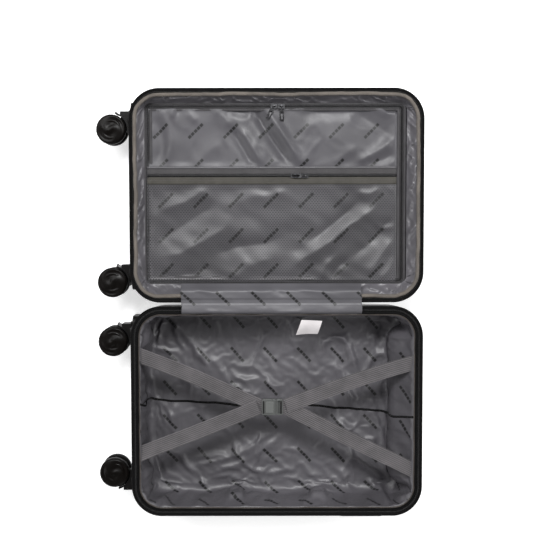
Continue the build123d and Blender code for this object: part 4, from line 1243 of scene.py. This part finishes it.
# ------------------------------------------------------------------ straps
def ribbon(name, path, width, thick, mat, body, ribs=8, rib_h=0.16, side=None, blend=None, uv0=0.0):
    """A woven band swept along a path of 3-D points (mm), with ribs along it. side gives the width direction."""
    P = np.array(path, float)
    # resample evenly with a smooth curve
    n_in = len(P)
    t = np.concatenate([[0], np.cumsum(np.linalg.norm(np.diff(P, axis=0), axis=1))])
    m = max(12, int(t[-1] / 2.4))
    ts = np.linspace(0, t[-1], m)

    def cub(c):
        # natural-ish cubic through the points
        k = np.gradient(c, t)
        i = np.clip(np.searchsorted(t, ts, side="right") - 1, 0, n_in - 2)
        h = t[i + 1] - t[i]
        u = (ts - t[i]) / h
        return ((2 * u**3 - 3 * u**2 + 1) * c[i] + (u**3 - 2 * u**2 + u) * h * k[i]
                + (-2 * u**3 + 3 * u**2) * c[i + 1] + (u**3 - u**2) * h * k[i + 1])

    C = np.stack([cub(P[:, k]) for k in range(3)], 1)
    T = np.gradient(C, axis=0)
    T /= np.linalg.norm(T, axis=1)[:, None]
    up = np.array([0, 0, 1.0])
    S = np.cross(T, up)
    S /= np.linalg.norm(S, axis=1)[:, None]
    if side is not None:
        roll = np.interp(ts / t[-1], *side)
        c, s_ = np.cos(roll)[:, None], np.sin(roll)[:, None]
        U0 = np.cross(S, T)
        S = S * c + U0 * s_
    U = np.cross(S, T)
    k_top = ribs * 4 + 1
    w = np.linspace(-0.5, 0.5, k_top)
    zt = thick / 2 + rib_h * np.cos(w * 2 * math.pi * ribs) - 0.35 * thick * sstep(0.455, 0.5, np.abs(w))
    w2 = np.linspace(0.5, -0.5, 9)
    zb = -thick / 2 + 0.3 * thick * sstep(0.455, 0.5, np.abs(w2))
    ww, zz = np.concatenate([w, w2]), np.concatenate([zt, zb])
    k = len(ww)
    # edges wander a little
    wob = 1 + 0.006 * np.sin(np.arange(m) * 0.31)
    V = C[:, None, :] + S[:, None, :] * (ww[None, :, None] * width * wob[:, None, None]) + U[:, None, :] * zz[None, :, None]
    V = V.reshape(-1, 3)
    F = grid_faces(m, k, False, True)
    F.append(tuple(reversed(range(k))))
    F.append(tuple((m - 1) * k + q for q in range(k)))
    uv = np.stack([np.repeat(ts + uv0, k), np.tile(ww * width, m)], 1)
    ob = make(name, V, F, mat, None, uv=uv)
    if body:
        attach(ob, body)
    length = float(np.linalg.norm(np.diff(C, axis=0), axis=1).sum())
    return ob, length


_blo, _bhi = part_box("buckle_socket")
_bp, _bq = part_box("buckle_plug")
BKX0 = (_blo.x - OX) * 1000
BKX1 = (_bq.x - OX) * 1000
BKY = ((_blo.y + _bhi.y) / 2 - OY) * 1000
BKZ = _blo.z * 1000


def make_straps():
    zc = BKZ + 4.5                     # height of the webbing slots
    runs = {
        # name: wall end (x, y), end at the buckle (x, y), height above, which end lies on top
        "strap_left_far": ((-230.5, -83.5), (BKX0 - 6, BKY + 1.5), -1.6),
        "strap_left_near": ((-231.0, -251.0), (BKX0 - 5, BKY - 0.5), 0.0),
        "strap_right_far": ((230.0, -96.0), (BKX1 + 5, BKY + 1.5), 0.0),
        "strap_right_near": ((229.0, -278.5), (BKX1 + 5, BKY - 0.5), -1.6),
    }
    pieces = {}
    for nm, (w, b, dz) in runs.items():
        w, b = np.array(w), np.array(b)
        d = b - w
        pts = []
        for t, sag, bow in ((0.0, 0.0, 0.0), (0.015, -1.0, 0.0), (0.10, -4.2, 0.4), (0.3, -6.8, 1.4), (0.5, -6.6, 1.8), (0.7, -4.6, 1.2), (0.88, -1.6, 0.4), (1.0, 0.0, 0.0)):
            p = w + d * t
            nrm = np.array([-d[1], d[0]]) / np.linalg.norm(d)
            sgn = 1 if "far" in nm else -1
            p = p + nrm * bow * sgn * (1 if d[0] > 0 else -1)
            z = (RIM - 2.0) * (1 - t) + (zc + dz) * t + sag
            pts.append((p[0], p[1], z))
        twist = ([0, 0.12, 0.5, 0.85, 1.0], [0.10, -0.05, 0.07, -0.03, 0.0])
        ob, ln = ribbon(nm, pts, 24.6, 1.3, M_WEB.m, None, side=twist)
        pieces[nm] = (ob, ln)
        # cut the inner end square to the buckle by a folded tab below
    for nm in ("strap_left_far", "strap_left_near"):
        ob, ln = pieces[nm]
        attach(ob, "base")
    for nm in ("strap_right_far", "strap_right_near"):
        ob, ln = pieces[nm]
        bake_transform(ob)
    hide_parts("cross_straps_left")
    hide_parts("cross_straps_right")
    # folded tabs through the buckle's slots, box-stitched to the straps
    for nm, x0, x1, body in (("tab_left", BKX0 - 16, BKX0 + 2.0, "base"), ("tab_right", BKX1 + 16, BKX1 - 2.2, "buckle_tongue")):
        sgn = 1 if x1 > x0 else -1
        pts = [(x0, BKY, zc - 3.5), (x0 + sgn * 5, BKY, zc - 3.5), (x0 + sgn * 10, BKY, zc - 2.6), (x1 - sgn * 2, BKY, zc - 0.2), (x1, BKY, zc)]
        ob, ln = ribbon(nm, pts, 22.6, 1.1, M_WEB.m, body)


def make_buckle_shade_strips():
    """Near-black strips on the buckle's top, as painted shade: the gaps of the webbing slots in the buckle's two
    halves, and the seam between them.
    """
    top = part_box("buckle_socket")[1].z * 1000
    # near-black strips over the webbing slots: painted shade in the slots
    slots = (("buckle_slot_shade_a", BKX0 + 1.6, BKX0 + 4.0, 10.6, "base"), ("buckle_slot_shade_b", BKX1 - 4.4, BKX1 - 1.8, 10.6, "buckle_tongue"))
    for nm, x0, x1, h, body in slots:
        strip(nm, x0, x1, BKY - h, BKY + h, top - 0.35, 0.42, M_COIL.m, body, step=0.45, edge=0.05, across="x")
    # a thin near-black line by the button: painted shade in the seam
    ob = strip("buckle_button_seam_shade", BKX0 + 5.0, BKX0 + 5.7, BKY - 9.2, BKY + 9.2, top - 0.35, 0.42, M_COIL.m, "base", step=0.3, edge=0.05, across="x")
    ob.data.update()


# ------------------------------------------------------------------ flap, hinge, label, access zip
def make_flap():
    flo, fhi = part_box("lining_flap")
    x0, x1 = (flo.x - OX) * 1000, (fhi.x - OX) * 1000
    y0, y1 = (flo.y - OY) * 1000, (fhi.y - OY) * 1000
    X, Y, nx, ny = grid_xy(x0, x1, y0, y1, 1.7)
    v = (Y - y0) / (y1 - y0)           # 0 in the base, 1 in the lid
    u = (X - x0) / (x1 - x0)
    Z = 116.5 - 1.3 * sstep(0.3, 2.0, Y) * (1 - sstep(8.2, 10.3, Y)) + 0.9 * sstep(8.2, 10.3, Y)
    Z += 0.6 * np.exp(-(((Y + 9) / 6) ** 2)) - 0.4 * np.exp(-((Y / 3.0) ** 2))
    Z -= 7.5 * sstep(0, 1, (y0 + 9 - Y) / 9) + 13.5 * sstep(0, 1, (Y - y1 + 13) / 14)
    Z += (0.55 * noise2(X * 0.6, Y * 1.4, 22, 51) + 0.15 * noise2(X, Y * 2, 9, 52)) * (1 - 0.8 * np.exp(-(((Y - 3) / 4.5) ** 2)))
    Z += fold_field(X, Y, [(x0 + 20, 28, x0 + 80, 13, 5, 2.0, 0.5), (x0 + 110, 28, x0 + 140, 13, 6, 1.6, 0.5), (x0 + 190, 28, x0 + 270, 13, 5, 2.2, 0.5), (x0 + 150, 26, x0 + 176, 14, 4, -1.4, 0.5), (x0 + 40, -9, x0 + 100, -17, 4, 1.3, 0.5), (x0 + 200, -9, x0 + 140, -18, 4, 1.3, 0.5)])
    # ends are hemmed and a little ragged
    Xs = X + (1.2 * noise2(Y * 1.3, 0 * Y, 9, 53)) * (np.abs(u - 0.5) * 2) ** 6
    Z = np.maximum(Z, 103)
    V = np.stack([Xs, Y, Z], 2).reshape(-1, 3)
    uv = np.stack([X, Y * 1.1 + 8], 2).reshape(-1, 2)
    ob = make("lining_flap_cloth", V, grid_faces(nx, ny), M_FLAP.m, None, uv=uv)
    sol = ob.modifiers.new("thick", "SOLIDIFY")
    sol.thickness = 0.0006
    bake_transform(ob)
    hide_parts("lining_flap")
    # woven hinge under it
    hlo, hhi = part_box("hinge_tape")
    hx0, hx1 = (hlo.x - OX) * 1000, (hhi.x - OX) * 1000
    X, Y, nx, ny = grid_xy(hx0, hx1, -11.6, 11.6, 1.5)
    Z = 113.2 - 0.8 * np.exp(-((Y / 2.6) ** 2)) + 0.12 * np.sin(X * 1.2)
    V = np.stack([X, Y, Z], 2).reshape(-1, 3)
    ob = make("hinge_webbing_strip", V, grid_faces(nx, ny), M_HINGE.m, None, uv=V[:, :2])
    sol = ob.modifiers.new("thick", "SOLIDIFY")
    sol.thickness = 0.0009
    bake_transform(ob)
    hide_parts("hinge_tape")


def make_label():
    """Blank woven care label, sewn in by its upper edge and curling at the lower one."""
    corners = np.array([(40.7, -26.0, 106.5), (75.3, -27.8, 106.5), (68.1, -51.1, 96.0), (31.8, -52.5, 96.0)])
    n, m = 22, 17
    V = []
    for i in range(n):
        u = i / (n - 1)
        for j in range(m):
            v = j / (m - 1)
            p = (1 - v) * ((1 - u) * corners[0] + u * corners[1]) + v * ((1 - u) * corners[3] + u * corners[2])
            z = 2.6 * math.sin(math.pi * v) - 1.4 * math.sin(math.pi * u) * v + 1.5 * (v**3) * (1 - u) + 0.5 * math.sin(6 * u + 2 * v)
            V.append((p[0], p[1] + 0.8 * math.sin(3 * u) * v, p[2] + z))
    uv = [(i * 1.6, j * 1.7) for i in range(n) for j in range(m)]
    ob = make("care_label_sheet", V, grid_faces(n, m, flip=True), M_LABEL.m, "base", uv=uv)
    sol = ob.modifiers.new("thick", "SOLIDIFY")
    sol.thickness = 0.0003
    sub = ob.modifiers.new("smooth", "SUBSURF")
    sub.levels = sub.render_levels = 1
    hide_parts("care_label")


def surface_reader(ob, cx, cy):
    """Height of a draped tub under a point, from its own mesh."""
    from mathutils.bvhtree import BVHTree

    me = ob.data
    bv = BVHTree.FromPolygons([v.co[:] for v in me.vertices], [p.vertices[:] for p in me.polygons])

    def at(x, y):
        hit = bv.ray_cast(m3((x, y, 140)), Vector((0, 0, -1)))
        return None if hit[0] is None else hit[0].z * 1000

    return at


def make_access_zip(lining):
    """The long zip across the base lining, from one end wall's rim to the other's."""
    at = surface_reader(lining, 0, 0)
    xs = np.arange(-226, 227, 2.5)
    line = []
    for x in xs:
        y = float(np.interp(x, [-229, -211, -155, -65, 51, 156, 197, 228], [-164.4, -172, -176, -182.5, -182.7, -190.5, -196.5, -186]))
        y += 0.7 * math.sin(x / 23.0) + 0.5 * math.sin(x / 9.0)
        zs = [at(x, y + k) for k in (-1.5, 0, 1.5)]
        zs = [z for z in zs if z is not None]
        if zs:
            line.append((x, y, max(zs) + 0.5))
    L = np.array(line)
    # smooth the heights, staying on top of the cloth
    k = np.array([1, 2, 3, 2, 1]) / 9
    z = np.convolve(np.pad(L[:, 2], 2, mode="edge"), k, mode="valid")
    L[:, 2] = np.maximum(z, L[:, 2])
    ob, ln = ribbon("access_zip_tape", L, 3.4, 0.5, M_TAPE.m, "base", ribs=2, rib_h=0.1)
    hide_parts("base_lining_zip")
    # coil along it
    P = L.copy()
    T = np.gradient(P, axis=0)
    T /= np.linalg.norm(T, axis=1)[:, None]
    V, F = [], []
    d = np.concatenate([[0], np.cumsum(np.linalg.norm(np.diff(P, axis=0), axis=1))])
    for s in np.arange(1, d[-1] - 1, 1.5):
        p = np.array([np.interp(s, d, P[:, k]) for k in range(3)])
        t = np.array([np.interp(s, d, T[:, k]) for k in range(3)])
        t /= np.linalg.norm(t)
        n = np.cross(np.array([0, 0, 1.0]), t)
        n /= np.linalg.norm(n)
        up = np.cross(t, n)
        b = len(V)
        prof = [(-0.8, 0.2), (-0.5, 0.7), (0.0, 0.8), (0.5, 0.7), (0.8, 0.2)]
        for u, h in prof:
            for a in range(5):
                an = 2 * math.pi * a / 5
                V.append(tuple(p + n * u + up * (0.2 + h * 0.7 + 0.42 * math.sin(an)) + t * (0.42 * math.cos(an))))
        for q in range(4):
            for a in range(5):
                c = (a + 1) % 5
                F.append((b + q * 5 + a, b + q * 5 + c, b + (q + 1) * 5 + c, b + (q + 1) * 5 + a))
    make("access_zip_coil", V, F, M_COIL.m, "base")


# ------------------------------------------------------------------ build
lining = make_base_lining()
make_access_zip(lining)
make_rim("base")
make_rim("lid")
make_lid_tub()
make_binding()
make_lid_band()
make_divider()
make_straps()
make_buckle_shade_strips()
make_flap()
make_label()
for _k in ("base_inner", "base_outer", "lid_inner", "lid_outer"):
    make_wheel_cover(_k)

# ------------------------------------------------------------------ stage, light, camera
bpy.ops.mesh.primitive_plane_add(size=12, location=(0, 0, -0.0004))
floor = bpy.context.object
floor.name = "floor"
FM = Mat("floor_white", (0.92, 0.92, 0.92), 0.75, spec=0.2)
FM.mottled(3, 0.01)
FM.b.inputs["Emission Color"].default_value = (1, 1, 1, 1)
FM.b.inputs["Emission Strength"].default_value = 0.5
floor.data.materials.append(FM.m)

world = bpy.data.worlds.new("studio")
bpy.context.scene.world = world
world.use_nodes = True
world.node_tree.nodes["Background"].inputs[0].default_value = (1, 1, 1, 1)
world.node_tree.nodes["Background"].inputs[1].default_value = 0.22
bpy.context.scene.view_settings.view_transform = "Standard"


def area_light(name, loc, target, size, power, size_y=None):
    d = bpy.data.lights.new(name, "AREA")
    d.energy = power
    d.size = size
    if size_y:
        d.shape = "RECTANGLE"
        d.size_y = size_y
    o = bpy.data.objects.new(name, d)
    o.location = loc
    o.rotation_euler = (Vector(target) - Vector(loc)).to_track_quat("-Z", "Y").to_euler()
    bpy.context.scene.collection.objects.link(o)
    return o


area_light("key", (-1.25, 1.3, 2.3), (0, 0, 0), 1.4, 42)
area_light("top", (0.15, 1.55, 2.45), (0, 0, 0), 0.5, 62)
area_light("side", (2.1, 0.5, 1.7), (0, 0, 0), 1.3, 38)
area_light("front", (0.5, -2.4, 1.5), (0, 0, 0), 1.4, 11)
area_light("left", (-2.5, -0.9, 1.4), (0, 0, 0), 1.2, 18)

cam_d = bpy.data.cameras.new("camera")
cam = bpy.data.objects.new("camera", cam_d)
bpy.context.scene.collection.objects.link(cam)
cam_d.sensor_width = 36
cam_d.lens = 906.28 / 544 * 36
cam_d.clip_end = 20
tilt, roll = -0.05175, -0.00142
cam.location = m3((-7.6, 130.16, 1595.0))
# looking straight down is the identity; then a small tilt about x and a roll about the view
cam.rotation_euler = (tilt, 0, roll)
bpy.context.scene.camera = cam
